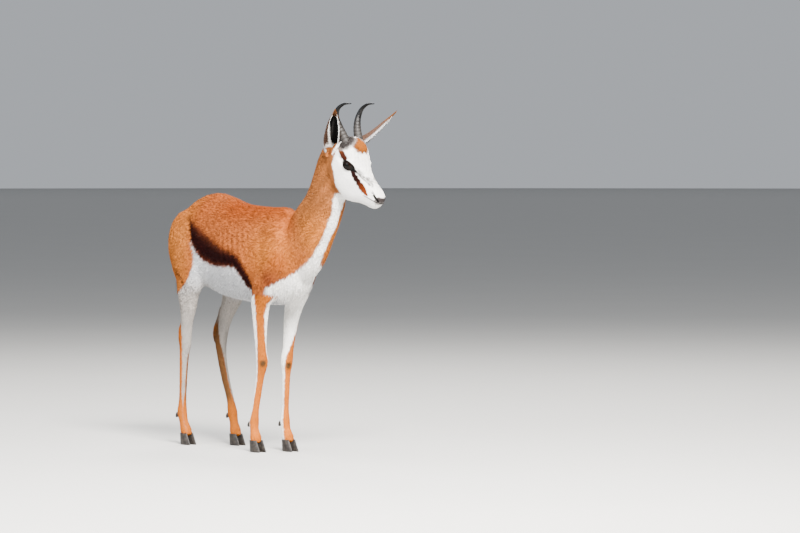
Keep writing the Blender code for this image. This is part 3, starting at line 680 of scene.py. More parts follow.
@dataclass(frozen=True)
class BodyForm:
    """The flesh's stations, the same that the frame's solids were lofted from."""

    # Trunk: x, back line, belly line, half width.
    torso: tuple = (
        (-0.538, 0.640, 0.575, 0.032),
        (-0.518, 0.706, 0.530, 0.064),
        (-0.470, 0.758, 0.505, 0.088),
        (-0.400, 0.786, 0.498, 0.098),
        (-0.345, 0.792, 0.481, 0.096),
        (-0.285, 0.782, 0.468, 0.092),
        (-0.200, 0.761, 0.459, 0.097),
        (-0.120, 0.755, 0.452, 0.098),
        (-0.040, 0.752, 0.449, 0.089),
        (0.025, 0.752, 0.456, 0.077),
        (0.085, 0.718, 0.484, 0.062),
        (0.122, 0.635, 0.530, 0.038),
    )
    torso_bias: float = -0.12
    # Neck: x, z, half depth, half width.
    neck: tuple = (
        (-0.030, 0.590, 0.085, 0.054),
        (0.030, 0.598, 0.098, 0.060),
        (0.096, 0.628, 0.098, 0.061),
        (0.148, 0.690, 0.090, 0.057),
        (0.197, 0.753, 0.079, 0.052),
        (0.224, 0.820, 0.068, 0.048),
        (0.244, 0.879, 0.062, 0.045),
        (0.262, 0.920, 0.053, 0.041),
    )
    neck_turn: float = 0.012
    # Head: F, upper line, lower line, half width.
    head: tuple = (
        (-0.094, 0.014, -0.048, 0.027),
        (-0.078, 0.046, -0.074, 0.041),
        (-0.052, 0.062, -0.096, 0.046),
        (-0.022, 0.057, -0.112, 0.0460),
        (0.006, 0.040, -0.116, 0.0435),
        (0.034, 0.026, -0.109, 0.0375),
        (0.062, 0.019, -0.092, 0.0305),
        (0.088, 0.0165, -0.0715, 0.0255),
        (0.114, 0.0150, -0.0560, 0.0225),
        (0.137, 0.0105, -0.0455, 0.0205),
        (0.149, 0.0000, -0.0345, 0.0135),
    )
    head_square: float = 2.4
    head_bias: float = 0.22
    brow: tuple = (0.0235, 0.0155, 0.0210)
    # Foreleg: x, half spread, z, half depth, half width.
    foreleg: tuple = (
        (0.000, 0.048, 0.700, 0.050, 0.022),
        (0.028, 0.060, 0.625, 0.054, 0.026),
        (0.022, 0.066, 0.560, 0.048, 0.029),
        (-0.010, 0.067, 0.505, 0.047, 0.029),
        (-0.033, 0.064, 0.460, 0.040, 0.026),
        (-0.043, 0.059, 0.415, 0.030, 0.0225),
        (-0.048, 0.055, 0.365, 0.0235, 0.0190),
        (-0.051, 0.050, 0.310, 0.0190, 0.0175),
        (-0.052, 0.046, 0.277, 0.0205, 0.0195),
        (-0.055, 0.046, 0.240, 0.0155, 0.0150),
        (-0.060, 0.047, 0.177, 0.0135, 0.0130),
        (-0.064, 0.048, 0.120, 0.0135, 0.0130),
        (-0.065, 0.048, 0.0945, 0.0165, 0.0160),
        (-0.059, 0.048, 0.064, 0.0140, 0.0155),
        (-0.049, 0.048, 0.042, 0.0180, 0.0195),
        (-0.044, 0.048, 0.026, 0.0150, 0.0170),
    )
    fore_lean: tuple = (-0.040, 0.002)
    knee: float = 0.277
    # Hind leg: x of the right and of the left one, half spread, z, half depth, half width.
    hindleg: tuple = (
        (-0.410, -0.395, 0.040, 0.705, 0.082, 0.040),
        (-0.435, -0.408, 0.056, 0.640, 0.104, 0.045),
        (-0.422, -0.390, 0.066, 0.575, 0.084, 0.042),
        (-0.412, -0.368, 0.070, 0.520, 0.066, 0.036),
        (-0.422, -0.375, 0.070, 0.480, 0.050, 0.031),
        (-0.427, -0.394, 0.067, 0.435, 0.034, 0.0255),
        (-0.438, -0.412, 0.064, 0.390, 0.0225, 0.0195),
        (-0.448, -0.424, 0.061, 0.350, 0.0215, 0.0175),
        (-0.453, -0.431, 0.060, 0.325, 0.0235, 0.0180),
        (-0.462, -0.426, 0.058, 0.285, 0.0185, 0.0155),
        (-0.470, -0.402, 0.057, 0.205, 0.0145, 0.0135),
        (-0.476, -0.371, 0.056, 0.132, 0.0145, 0.0135),
        (-0.480, -0.361, 0.055, 0.102, 0.0175, 0.0165),
        (-0.470, -0.352, 0.055, 0.068, 0.0145, 0.0155),
        (-0.457, -0.344, 0.055, 0.042, 0.0185, 0.0195),
        (-0.450, -0.338, 0.055, 0.026, 0.0155, 0.0170),
    )
    # Tip of each hock and the tendon above it: x of the right and of the left one, z, radius.
    hock: tuple = (
        (-0.450, -0.424, 0.430, 0.0120),
        (-0.466, -0.450, 0.385, 0.0090),
        (-0.478, -0.465, 0.352, 0.0105),
        (-0.472, -0.456, 0.318, 0.0120),
    )
    # Skin between the shin and that tendon, with the same columns.
    web: tuple = (
        (-0.446, -0.424, 0.430, 0.0090),
        (-0.457, -0.435, 0.395, 0.0080),
        (-0.463, -0.443, 0.368, 0.0080),
        (-0.465, -0.448, 0.340, 0.0080),
        (-0.462, -0.448, 0.322, 0.0080),
    )
    hock_spread: float = 0.061
    # Tail: x, y, z, radius.
    tail: tuple = (
        (-0.480, 0.000, 0.712, 0.0170),
        (-0.512, 0.000, 0.704, 0.0160),
        (-0.536, -0.003, 0.676, 0.0140),
        (-0.547, -0.008, 0.632, 0.0115),
        (-0.546, -0.014, 0.586, 0.0095),
        (-0.538, -0.020, 0.546, 0.0075),
        (-0.528, -0.026, 0.515, 0.0050),
    )

    def neck_rows(self) -> np.ndarray:
        """The neck's stations with its turn: y grows by the square of the share along it."""
        rows = np.array(self.neck)
        share = (rows[:, 0] - rows[0, 0]) / (rows[-1, 0] - rows[0, 0])
        return np.column_stack([rows[:, 0], self.neck_turn * share**2, rows[:, 1:]])

    def foreleg_rows(self, side: Side) -> np.ndarray:
        """A foreleg's stations: below the knee x moves by the lean times the share down."""
        rows = np.array(self.foreleg)
        lean = self.fore_lean[0] if side is Side.RIGHT else self.fore_lean[1]
        rows[:, 0] += lean * np.maximum(0.0, 1 - rows[:, 2] / self.knee)
        rows[:, 1] *= side.value
        return rows

    def hindleg_rows(self, side: Side) -> np.ndarray:
        """A hind leg's stations."""
        rows = np.array(self.hindleg)
        x = rows[:, 0] if side is Side.RIGHT else rows[:, 1]
        return np.column_stack([x, side.value * rows[:, 2], rows[:, 3:]])

    def leg_rows(self, fore: bool, side: Side) -> np.ndarray:
        """The stations of any leg."""
        return self.foreleg_rows(side) if fore else self.hindleg_rows(side)

    def tail_rows(self) -> np.ndarray:
        """The tail's stations, round."""
        rows = np.array(self.tail)
        return np.column_stack([rows, rows[:, 3]])

    def trunk(self) -> Surface:
        """Ovals across the trunk's length, wider below their middle."""
        rows = smooth_rows(self.torso, 52)
        sideways, upwards = oval(56, self.torso_bias)
        middle, half = (rows[:, 1] + rows[:, 2]) / 2, (rows[:, 1] - rows[:, 2]) / 2
        x = np.repeat(rows[:, :1], 56, axis=1)
        y = rows[:, 3:4] * sideways
        return Surface.closed_tube(np.stack([x, y, middle[:, None] + half[:, None] * upwards], -1))

    def skull(self) -> Surface:
        """Squarish ovals across the head's length, wider above their middle."""
        rows = smooth_rows(self.head, 60)
        sideways, upwards = oval(56, self.head_bias, self.head_square)
        middle, half = (rows[:, 1] + rows[:, 2]) / 2, (rows[:, 1] - rows[:, 2]) / 2
        along = np.repeat(rows[:, :1], 56, axis=1)
        left = rows[:, 3:4] * sideways
        rings = np.stack([along, left, middle[:, None] + half[:, None] * upwards], -1)
        return Surface.closed_tube(HEAD.point(rings))

    def brows(self) -> list[Surface]:
        """An oval swelling round each eye, from rings of latitude."""
        turn = np.linspace(0.03, math.pi - 0.03, 16)
        around = np.linspace(0.0, TURN, 24, endpoint=False)
        ball = np.stack(
            [
                np.sin(turn)[:, None] * np.cos(around),
                np.sin(turn)[:, None] * np.sin(around),
                np.cos(turn)[:, None] * np.ones(24),
            ],
            -1,
        )
        made = []
        for side in Side:
            centre = (EYE.at[0], side.value * (EYE.at[1] - 0.004), EYE.at[2])
            made.append(Surface.closed_tube(HEAD.point(ball * np.array(self.brow) + centre)))
        return made

    def limbs(self) -> list[Surface]:
        """All four legs and the tip of each hock."""
        made = []
        for side in Side:
            for fore in (True, False):
                made.append(Surface.closed_tube(tube_rings(smooth_rows(self.leg_rows(fore, side), 90), 32)))
            for table in (self.hock, self.web):
                tip = np.array(table)
                x = tip[:, 0] if side is Side.RIGHT else tip[:, 1]
                y = np.full(len(tip), side.value * self.hock_spread)
                rows = np.column_stack([x, y, tip[:, 2], tip[:, 3], tip[:, 3] * 0.9])
                made.append(Surface.closed_tube(tube_rings(smooth_rows(rows, 16), 16)))
        return made

    def forms(self) -> Surface:
        """Every mass of flesh except ears and tail, as overlapping closed surfaces."""
        neck = Surface.closed_tube(tube_rings(smooth_rows(self.neck_rows(), 40), 48))
        return Surface.joined([self.trunk(), neck, self.skull(), *self.brows(), *self.limbs()])


BODY = BodyForm()


@dataclass(frozen=True)
class Ear:
    """A cupped ear: a wall bent round its length, nearly closed at the root and open above."""

    side: Side
    root: tuple[float, float, float]
    tip: tuple[float, float, float]
    opening: tuple[float, float, float]
    bow: float
    # Share of its length, radius of the cup, half the angle that it wraps in degrees.
    cup: tuple = (
        (0.00, 0.0165, 150),
        (0.12, 0.0195, 142),
        (0.26, 0.0220, 112),
        (0.42, 0.0228, 86),
        (0.58, 0.0212, 76),
        (0.74, 0.0165, 72),
        (0.88, 0.0090, 66),
        (1.00, 0.0016, 62),
    )
    wall: float = 0.0022
    folds: float = 0.0006

    def frame(self) -> tuple[np.ndarray, np.ndarray, np.ndarray, np.ndarray, float]:
        """The root, the way to the tip, the way across, the way the cup opens and the length."""
        root, tip = HEAD.upright(self.root), HEAD.upright(self.tip)
        length = float(np.linalg.norm(tip - root))
        axis = (tip - root) / length
        turn = np.array(Matrix.Rotation(HEAD.yaw, 3, "Z"))
        way = turn @ np.array(self.opening)
        front = unit(way - axis * way.dot(axis))
        return root, axis, np.cross(axis, front), front, length

    def section(self, share: np.ndarray) -> tuple[np.ndarray, np.ndarray]:
        """The cup's radius and half wrap in radians at shares of the length."""
        rows = np.array(self.cup)
        read = through(np.clip(share, 0.0, 1.0), rows[:, 0], rows[:, 1:])
        return np.maximum(read[:, 0], 0.0012), np.radians(read[:, 1])

    def surface(self, steps: int = 44, across: int = 30) -> Surface:
        """The wall as a grid.

        A point of a layer lies at the layer's radius round the cup's own middle, at an angle of
        its share across times the wrap. The inner layer carries low folds along the ear, a
        cosine of the share across.
        """
        root, axis, side_way, front, length = self.frame()
        share = np.linspace(0.0, 1.0, steps)
        radius, wrap = self.section(share)
        wall = np.minimum(self.wall, radius * 0.5)
        t = np.linspace(-1.0, 1.0, across)
        t = np.concatenate([t, t[::-1]])
        inner = np.concatenate([np.zeros(across), np.ones(across)])
        edge = 1 - 0.55 * ramp(np.abs(t), 0.86, 1.0)
        fold = self.folds * inner * np.cos(t * 5 * math.pi) * ramp(1 - np.abs(t), 0.05, 0.4)
        layer = radius[:, None] - wall[:, None] * (0.5 + (inner - 0.5) * edge)
        layer = layer - fold * ramp(share, 0.2, 0.4)[:, None] * ramp(1 - share, 0.0, 0.3)[:, None]
        angle = wrap[:, None] * t
        middle = root + axis * (share * length)[:, None] - front * (self.bow * np.sin(math.pi * share))[:, None]
        back = layer * np.cos(angle) - (radius * np.cos(wrap))[:, None]
        rings = middle[:, None] + side_way * (layer * np.sin(angle))[..., None] - front * back[..., None]
        return Surface.closed_tube(rings)

    def read(self, points: np.ndarray) -> tuple[np.ndarray, np.ndarray, np.ndarray, np.ndarray]:
        """Places on the ear.

        Args:
            points: Points of the body.

        Returns:
            The share along it, the share across its wrap from -1 to 1, the distance from the
            cup's middle in radii, and the unit direction from that middle.
        """
        root, axis, side_way, front, length = self.frame()
        share = (points - root) @ axis / length
        radius, wrap = self.section(share)
        bowed = (self.bow * np.sin(math.pi * np.clip(share, 0, 1)))[:, None]
        middle = root + axis * (share * length)[:, None] + front * ((radius * np.cos(wrap))[:, None] - bowed)
        off = points - middle
        sideways, forward = off @ side_way, off @ front
        angle = np.arctan2(sideways, -forward)
        return share, angle / wrap, np.hypot(sideways, forward) / radius, unit(off)

    def holds(self, points: np.ndarray) -> np.ndarray:
        """True for points on the ear's wall."""
        share, across, reach, _ = self.read(points)
        radius, _ = self.section(share)
        near = np.abs(reach - 1) * radius < 0.0045
        return (share > 0.10) & (share < 1.04) & near & (np.abs(across) < 1.25)


EARS = (
    Ear(Side.RIGHT, (-0.076, -0.038, 0.018), (0.018, -0.114, 0.166), (0.68, -0.73, 0.0), 0.006),
    Ear(Side.LEFT, (-0.062, 0.035, 0.026), (0.018, 0.160, 0.162), (0.68, 0.73, 0.0), -0.008),
)


@dataclass(frozen=True)
class Relief:
    """Small forms of the skin that the lofts leave out, each a soft bump or hollow."""

    # Head: F, distance from the middle, U, radius, height.
    head: tuple = (
        (-0.030, 0.046, -0.060, 0.024, 0.0022),
        (-0.020, 0.044, -0.022, 0.012, 0.0012),
        (0.012, 0.040, -0.028, 0.011, 0.0010),
        (0.036, 0.036, -0.006, 0.010, -0.0020),
        (0.060, 0.026, -0.040, 0.018, -0.0014),
        (-0.036, 0.040, 0.026, 0.012, -0.0016),
        (0.004, 0.030, 0.030, 0.010, 0.0014),
        (0.118, 0.017, 0.004, 0.009, 0.0010),
        (0.020, 0.030, -0.100, 0.016, -0.0015),
    )
    # Body: x, distance from the middle, z, radius, height.
    body: tuple = (
        (0.062, 0.068, 0.590, 0.034, 0.0050),
        (-0.010, 0.080, 0.660, 0.040, 0.0030),
        (-0.075, 0.092, 0.600, 0.034, -0.0035),
        (-0.020, 0.082, 0.515, 0.024, 0.0040),
        (-0.310, 0.090, 0.640, 0.040, -0.0050),
        (-0.352, 0.070, 0.755, 0.022, 0.0040),
        (-0.500, 0.050, 0.690, 0.022, 0.0030),
        (-0.352, 0.085, 0.545, 0.026, 0.0040),
        (-0.420, 0.105, 0.620, 0.042, 0.0035),
        (0.060, 0.045, 0.700, 0.030, -0.0035),
        (0.150, 0.050, 0.690, 0.022, -0.0018),
        (0.200, 0.045, 0.760, 0.020, -0.0015),
        (-0.440, 0.066, 0.402, 0.010, -0.0020),
    )
    knee_spread: float = 0.046

    def heights(self, points: np.ndarray) -> np.ndarray:
        """How far each point is raised: every form's height times e to minus its squared
        distance in radii, with faint ribs as a sine along the barrel."""
        own = HEAD.read(points)
        own[:, 1] = np.abs(own[:, 1])
        total = np.zeros(len(points))
        for *centre, radius, height in self.head:
            total += height * np.exp(-((own - centre) ** 2).sum(axis=1) / radius**2)
        mirrored = np.column_stack([points[:, 0], np.abs(points[:, 1]), points[:, 2]])
        for *centre, radius, height in self.body:
            total += height * np.exp(-((mirrored - centre) ** 2).sum(axis=1) / radius**2)
        x, z = points[:, 0], points[:, 2]
        cage = ramp(x, -0.26, -0.20) * (1 - ramp(x, -0.09, -0.05)) * ramp(z, 0.53, 0.57)
        cage = cage * (1 - ramp(z, 0.66, 0.71))
        return total + 0.0006 * cage * np.sin(TURN * (x + 0.35 * z) / 0.026)


RELIEF = Relief()


@dataclass(frozen=True)
class Muzzle:
    """The line of the mouth, the lips and the nostrils, in the head's axes."""

    mouth_ahead: float = 0.118
    mouth_up: float = -0.0215
    mouth_rise: float = 0.40
    corner: float = math.radians(139)
    fade: float = math.radians(16)
    groove: tuple[float, float] = (0.0022, 0.0011)
    lip: tuple[float, float, float] = (0.0011, 0.0030, 0.0022)
    # Each nostril's slit, from its upper end: F, out to its side, U, half width.
    nostril: tuple = (
        (0.1130, 0.0220, 0.0035, 0.0010),
        (0.1230, 0.0205, -0.0005, 0.0020),
        (0.1330, 0.0170, -0.0045, 0.0030),
        (0.1430, 0.0110, -0.0075, 0.0026),
    )
    nostril_depth: float = 0.0052
    nostril_rim: float = 0.0009

    def mouth(self, own: np.ndarray) -> tuple[np.ndarray, np.ndarray]:
        """Places by the mouth's line.

        The line lies in a plane that rises towards the nose, and ends at its corners.

        Args:
            own: F, L and U of points.

        Returns:
            How far above the line each is, and 1 along the line to 0 past its corners.
        """
        ahead = own[:, 0] - self.mouth_ahead
        above = (own[:, 2] - self.mouth_up - self.mouth_rise * ahead) / math.hypot(1, self.mouth_rise)
        angle = np.abs(np.arctan2(own[:, 1], ahead))
        return above, 1 - ramp(angle, self.corner - self.fade, self.corner)

    def slits(self, own: np.ndarray) -> tuple[np.ndarray, np.ndarray]:
        """Places by the nostrils.

        Args:
            own: F, L and U of points on the skin.

        Returns:
            The distance to the nearer slit in its half widths, and that half width.
        """
        reach = np.full(len(own), 99.0)
        width = np.full(len(own), self.nostril[2][3])
        near = np.flatnonzero(own[:, 0] > 0.098)
        for side in Side if len(near) else ():
            rows = smooth_rows(self.nostril, 28)
            rows[:, 1] *= side.value
            gap = np.linalg.norm(own[near][:, None] - rows[None, :, :3], axis=2)
            on_skin = own[near][gap.argmin(axis=0)]
            gap = np.linalg.norm(own[near][:, None] - on_skin[None], axis=2) / rows[None, :, 3]
            nearest = gap.argmin(axis=1)
            closer = gap[np.arange(len(near)), nearest] < reach[near]
            reach[near[closer]] = gap.min(axis=1)[closer]
            width[near[closer]] = rows[nearest[closer], 3]
        return reach, width

    def heights(self, own: np.ndarray) -> np.ndarray:
        """How far the lips rise, and the mouth's groove and the nostrils sink.

        The groove is e to minus its squared distance in widths, each lip a like swell beside
        it, and a nostril a hollow with a low rim round it.
        """
        above, line = self.mouth(own)
        rise, off, spread = self.lip
        total = line * rise * np.exp(-(((np.abs(above) - off) / spread) ** 2))
        total -= line * self.groove[0] * np.exp(-((above / self.groove[1]) ** 2))
        reach, width = self.slits(own)
        hollow = np.exp(-((reach / 1.05) ** 2)) * self.nostril_depth * (0.35 + width / 0.0046)
        rim = np.exp(-(((reach - 2.1) / 0.7) ** 2)) * self.nostril_rim
        return total - hollow + rim


MUZZLE = Muzzle()


@dataclass(frozen=True)
class SkinForm:
    """One skin over all the flesh, inside the solids by the coat's depth."""

    voxel: float = 0.0047
    trunk_rounds: int = 19
    body_depth: float = 0.0030
    leg_depth: float = 0.0013
    face_depth: float = 0.0009
    lid_reach: float = 1.34

    def remeshed(self, surface: Surface, voxel: float) -> Surface:
        """Overlapping closed surfaces fused on a grid of voxels into one."""
        mesh = surface.mesh("fuse", np.zeros(3))
        obj = bpy.data.objects.new("fuse", mesh)
        bpy.context.scene.collection.objects.link(obj)
        change = obj.modifiers.new("fuse", "REMESH")
        change.mode = "VOXEL"
        change.voxel_size = voxel
        return self.evaluated(obj).largest()

    def evaluated(self, obj: bpy.types.Object) -> Surface:
        """The object's surface with its modifiers applied. The object is removed."""
        graph = bpy.context.evaluated_depsgraph_get()
        mesh = bpy.data.meshes.new_from_object(obj.evaluated_get(graph))
        made = Surface.of(mesh)
        bpy.data.objects.remove(obj)
        bpy.data.meshes.remove(mesh)
        return made

    def refined(self, surface: Surface, where: np.ndarray) -> Surface:
        """Halves each edge whose two ends are marked, and evens out the new points."""
        shape = bmesh.new()
        mesh = surface.mesh("refine", np.zeros(3))
        shape.from_mesh(mesh)
        bpy.data.meshes.remove(mesh)
        edges = [e for e in shape.edges if where[e.verts[0].index] and where[e.verts[1].index]]
        bmesh.ops.subdivide_edges(shape, edges=edges, cuts=1, use_grid_fill=True)
        bmesh.ops.triangulate(shape, faces=shape.faces)
        mesh = bpy.data.meshes.new("refine")
        shape.to_mesh(mesh)
        shape.free()
        made = Surface.of(mesh)
        bpy.data.meshes.remove(mesh)
        fresh = np.zeros(len(made.points))
        fresh[len(where) :] = 0.5
        fresh[: len(where)][where] = 0.35
        return made.relaxed(3, fresh)

    def trunk_weight(self, points: np.ndarray) -> np.ndarray:
        """More than half on the trunk and the neck's base, fading to the legs and the head."""
        above = ramp(points[:, 2], 0.40, 0.52)
        return 0.55 * above * (1 - ramp(points[:, 0] * 0.93 + points[:, 2] * 0.37, 0.56, 0.61))

    def depth(self, points: np.ndarray) -> np.ndarray:
        """How deep the skin lies below the tips of the coat."""
        own = HEAD.read(points)
        face = ramp(own[:, 0], -0.085, -0.045) * ramp(points[:, 2], 0.72, 0.76)
        leg = 1 - ramp(points[:, 2], 0.38, 0.50)
        depth = self.body_depth + (self.leg_depth - self.body_depth) * leg
        depth = depth + (self.face_depth - depth) * face
        return depth * (1 - 0.6 * face * ramp(own[:, 0], 0.08, 0.12))

    def open_eyes(self, surface: Surface) -> Surface:
        """Sinks the skin behind each eyeball within the lids and raises the lids' edge round it.

        By the distance out from the lids' edge, in openings: below 1 a point goes to inside the
        ball, from 1 it lies on a rim just over the ball, and past the rim it blends back into
        the face, with a shallow fold.
        """
        points = surface.points.copy()
        for side in Side:
            middle, _, _, _ = EYE.frame(side)
            reach, _, _ = EYE.read(points, side)
            near = reach < 3.6
            off = points[near] - middle
            away = np.linalg.norm(off, axis=1)
            at = reach[near]
            rim = EYE.radius + EYE.lid
            inside = EYE.radius - 0.0045
            rising = ramp(at, 0.90, 1.06)
            lid = inside + (rim - inside) * rising
            blend = ramp(at, self.lid_reach * 0.86, 1.9)
            fold = 0.0010 * np.exp(-(((at - 1.62) / 0.14) ** 2))
            clear = np.maximum(away, EYE.radius + 0.0008)
            wanted = lid + (clear - lid) * blend - fold
            wanted = np.where(at > 1.2, np.maximum(wanted, EYE.radius + 0.0006), wanted)
            wanted = away + (wanted - away) * (1 - ramp(at, 2.9, 3.6))
            points[near] = middle + off / away[:, None] * wanted[:, None]
        return Surface(points, surface.faces)

    def united(self, surface: Surface, others: list[Surface]) -> Surface:
        """The surface joined with other closed ones that are sunk into it."""
        obj = bpy.data.objects.new("skin", surface.mesh("skin", np.zeros(3)))
        bpy.context.scene.collection.objects.link(obj)
        helpers = []
        for i, other in enumerate(others):
            helper = bpy.data.objects.new(f"join_{i}", other.mesh(f"join_{i}", np.zeros(3)))
            bpy.context.scene.collection.objects.link(helper)
            change = obj.modifiers.new(f"join_{i}", "BOOLEAN")
            change.operation = "UNION"
            change.solver = "MANIFOLD"
            change.object = helper
            helpers.append(helper)
        made = self.evaluated(obj)
        for helper in helpers:
            bpy.data.objects.remove(helper)
        return made.largest()

    def build(self) -> Surface:
        """Fuses the forms, refines the head, adds every small form, and joins ears and tail."""
        body = self.remeshed(BODY.forms(), self.voxel)
        body = body.relaxed(self.trunk_rounds, self.trunk_weight(body.points))
        body = body.relaxed(3, np.full(len(body.points), 0.5))
        own = HEAD.read(body.points)
        face = (own[:, 0] > -0.070) & (body.points[:, 2] > 0.73) & (np.abs(own[:, 2]) < 0.14)
        body = self.refined(body, face)
        own = HEAD.read(body.points)
        eyes = np.minimum(*(EYE.read(body.points, side)[0] for side in Side)) < 2.2
        muzzle = (own[:, 0] > 0.088) & (own[:, 2] > -0.075)
        body = self.refined(body, eyes | muzzle)
        log.info("flesh: %d points", len(body.points))
        normals = body.normals()
        raised = RELIEF.heights(body.points) - self.depth(body.points)
        body = Surface(body.points + normals * raised[:, None], body.faces)
        normals = body.normals()
        normals = unit(Surface(normals, body.faces).relaxed(6, np.full(len(normals), 0.5)).points)
        raised = MUZZLE.heights(HEAD.read(body.points))
        body = Surface(body.points + normals * raised[:, None], body.faces)
        body = self.open_eyes(body)
        tail = Surface.closed_tube(tube_rings(smooth_rows(BODY.tail_rows(), 70), 20))
        body = self.united(body, [ear.surface() for ear in EARS] + [tail])
        return body.relaxed(3, self.seam_weight(body.points))

    def seam_weight(self, points: np.ndarray) -> np.ndarray:
        """Half along the roots of the ears and of the tail, nothing elsewhere."""
        weight = np.zeros(len(points))
        for ear in EARS:
            share, _, reach, _ = ear.read(points)
            near = (share > -0.1) & (share < 0.20) & (reach < 1.7)
            weight[near] = 0.5
        root = np.array(BODY.tail[1][:3])
        weight[np.linalg.norm(points - root, axis=1) < 0.030] = 0.5
        return weight


class Part(Enum):
    """Where on the body a place is."""

    TORSO = 0
    NECK = 1
    FACE = 2
    EAR_RIGHT = 3
    EAR_LEFT = 4
    FORE_RIGHT = 5
    FORE_LEFT = 6
    HIND_RIGHT = 7
    HIND_LEFT = 8
    TAIL = 9


@dataclass(frozen=True)
class Atlas:
    """Tells the part of each place, and its place along and round that part."""

    head_from: float = -0.066
    head_plane: tuple = ((0.286, 0.0, 0.872), (0.93, 0.0, 0.37))
    neck_plane: tuple = ((0.122, 0.0, 0.690), (0.78, 0.0, 0.63))
    leg_top: float = 0.455
    leg_split: float = -0.20
    tail_reach: float = 1.30

    def beyond(self, points: np.ndarray, plane: tuple) -> np.ndarray:
        """How far each point lies past a plane."""
        middle, way = (np.array(value) for value in plane)
        return (points - middle) @ unit(way)

    def path_read(self, points: np.ndarray, rows: np.ndarray) -> tuple[np.ndarray, np.ndarray, np.ndarray]:
        """Places by a path.

        Args:
            points: Points of the body.
            rows: x, y and z along the path, then a radius.

        Returns:
            The share along the path of the nearest row, the offset from it, and the distance
            in the row's radii.
        """
        gap = np.linalg.norm(points[:, None] - rows[None, :, :3], axis=2)
        nearest = gap.argmin(axis=1)
        offset = points - rows[nearest, :3]
        return nearest / (len(rows) - 1), offset, gap[np.arange(len(points)), nearest] / rows[nearest, 3]

    def parts(self, points: np.ndarray) -> np.ndarray:
        """The number of each point's part."""
        made = np.full(len(points), Part.TORSO.value)
        made[self.beyond(points, self.neck_plane) > 0] = Part.NECK.value
        high = points[:, 2] > 0.72
        made[(self.beyond(points, self.head_plane) > 0) & high] = Part.FACE.value
        low = points[:, 2] < self.leg_top
        fore, left = points[:, 0] > self.leg_split, points[:, 1] > 0
        made[low & fore & ~left] = Part.FORE_RIGHT.value
        made[low & fore & left] = Part.FORE_LEFT.value
        made[low & ~fore & ~left] = Part.HIND_RIGHT.value
        made[low & ~fore & left] = Part.HIND_LEFT.value
        _, _, reach = self.path_read(points, smooth_rows(BODY.tail_rows()[1:], 40))
        made[(reach < self.tail_reach) & (points[:, 0] < -0.515) & (points[:, 2] < 0.70)] = Part.TAIL.value
        for ear, part in zip(EARS, (Part.EAR_RIGHT, Part.EAR_LEFT)):
            made[ear.holds(points)] = part.value
        return made

    def grain(self, points: np.ndarray, parts: np.ndarray) -> np.ndarray:
        """Metres along and round each part, as a map that the lie follows."""
        made = np.zeros((len(points), 3))
        for part in Part:
            at = parts == part.value
            if not at.any():
                continue
            here = points[at]
            if part is Part.TORSO:
                angle = np.arctan2(here[:, 1], here[:, 2] - 0.62)
                made[at, :2] = np.column_stack([here[:, 0], angle * 0.14])
            elif part is Part.NECK:
                way = np.array((0.66, 0.0, 0.75))
                side_way = np.array((0.75, 0.0, -0.66))
                off = here - np.array((0.148, 0.0, 0.690))
                angle = np.arctan2(off[:, 1], off @ side_way)
                made[at, :2] = np.column_stack([off @ way, angle * 0.07])
            elif part is Part.FACE:
                own = HEAD.read(here)
                angle = np.arctan2(own[:, 1], own[:, 2] + 0.030)
                made[at, :2] = np.column_stack([own[:, 0], angle * 0.045])
            elif part in (Part.EAR_RIGHT, Part.EAR_LEFT):
                ear = EARS[0] if part is Part.EAR_RIGHT else EARS[1]
                share, across, reach, _ = ear.read(here)
                inner = np.where(reach < 0.95, 0.11, 0.0)
                made[at, :2] = np.column_stack([share * 0.18, across * 0.026 + inner])
            elif part is Part.TAIL:
                angle = np.arctan2(here[:, 1] + 0.01, here[:, 0] + 0.54)
                made[at, :2] = np.column_stack([here[:, 2], angle * 0.012])
            else:
                made[at, :2] = self.leg_grain(here, part)
            made[at, 2] = part.value * 3.1
        return made

    def leg_frame(self, points: np.ndarray, part: Part) -> tuple[np.ndarray, np.ndarray]:
        """The offset of each point from its leg's middle at its height, ahead and outwards."""
        side = Side.RIGHT if part in (Part.FORE_RIGHT, Part.HIND_RIGHT) else Side.LEFT
        rows = BODY.leg_rows(part in (Part.FORE_RIGHT, Part.FORE_LEFT), side)[::-1]
        x = np.interp(points[:, 2], rows[:, 2], rows[:, 0])
        y = np.interp(points[:, 2], rows[:, 2], rows[:, 1])
        return points[:, 0] - x, (points[:, 1] - y) * side.value

    def leg_grain(self, points: np.ndarray, part: Part) -> np.ndarray:
        """Metres down and round a leg."""
        ahead, outward = self.leg_frame(points, part)
        return np.column_stack([points[:, 2], np.arctan2(outward, -ahead) * 0.018])

    def charts(self, grain: np.ndarray, parts: np.ndarray) -> np.ndarray:
        """Places on the map that a coat piece is baked on.

        Each part's grain is scaled into its own square cell of the map, so that a tuft lies
        where its root is on the unrolled skin.

        Args:
            grain: Metres along and round each part.
            parts: The number of each point's part.

        Returns:
            u and v, from 0 to 1.
        """
        made = np.zeros((len(grain), 2))
        present = np.unique(parts)
        cells = math.ceil(math.sqrt(len(present)))
        for index, number in enumerate(present):
            at = parts == number
            low, high = grain[at, :2].min(axis=0), grain[at, :2].max(axis=0)
            share = (grain[at, :2] - low) / np.maximum(high - low, 1e-6)
            corner = np.array((index % cells, index // cells))
            made[at] = (corner + 0.02 + 0.96 * share) / cells
        return made


ATLAS = Atlas()


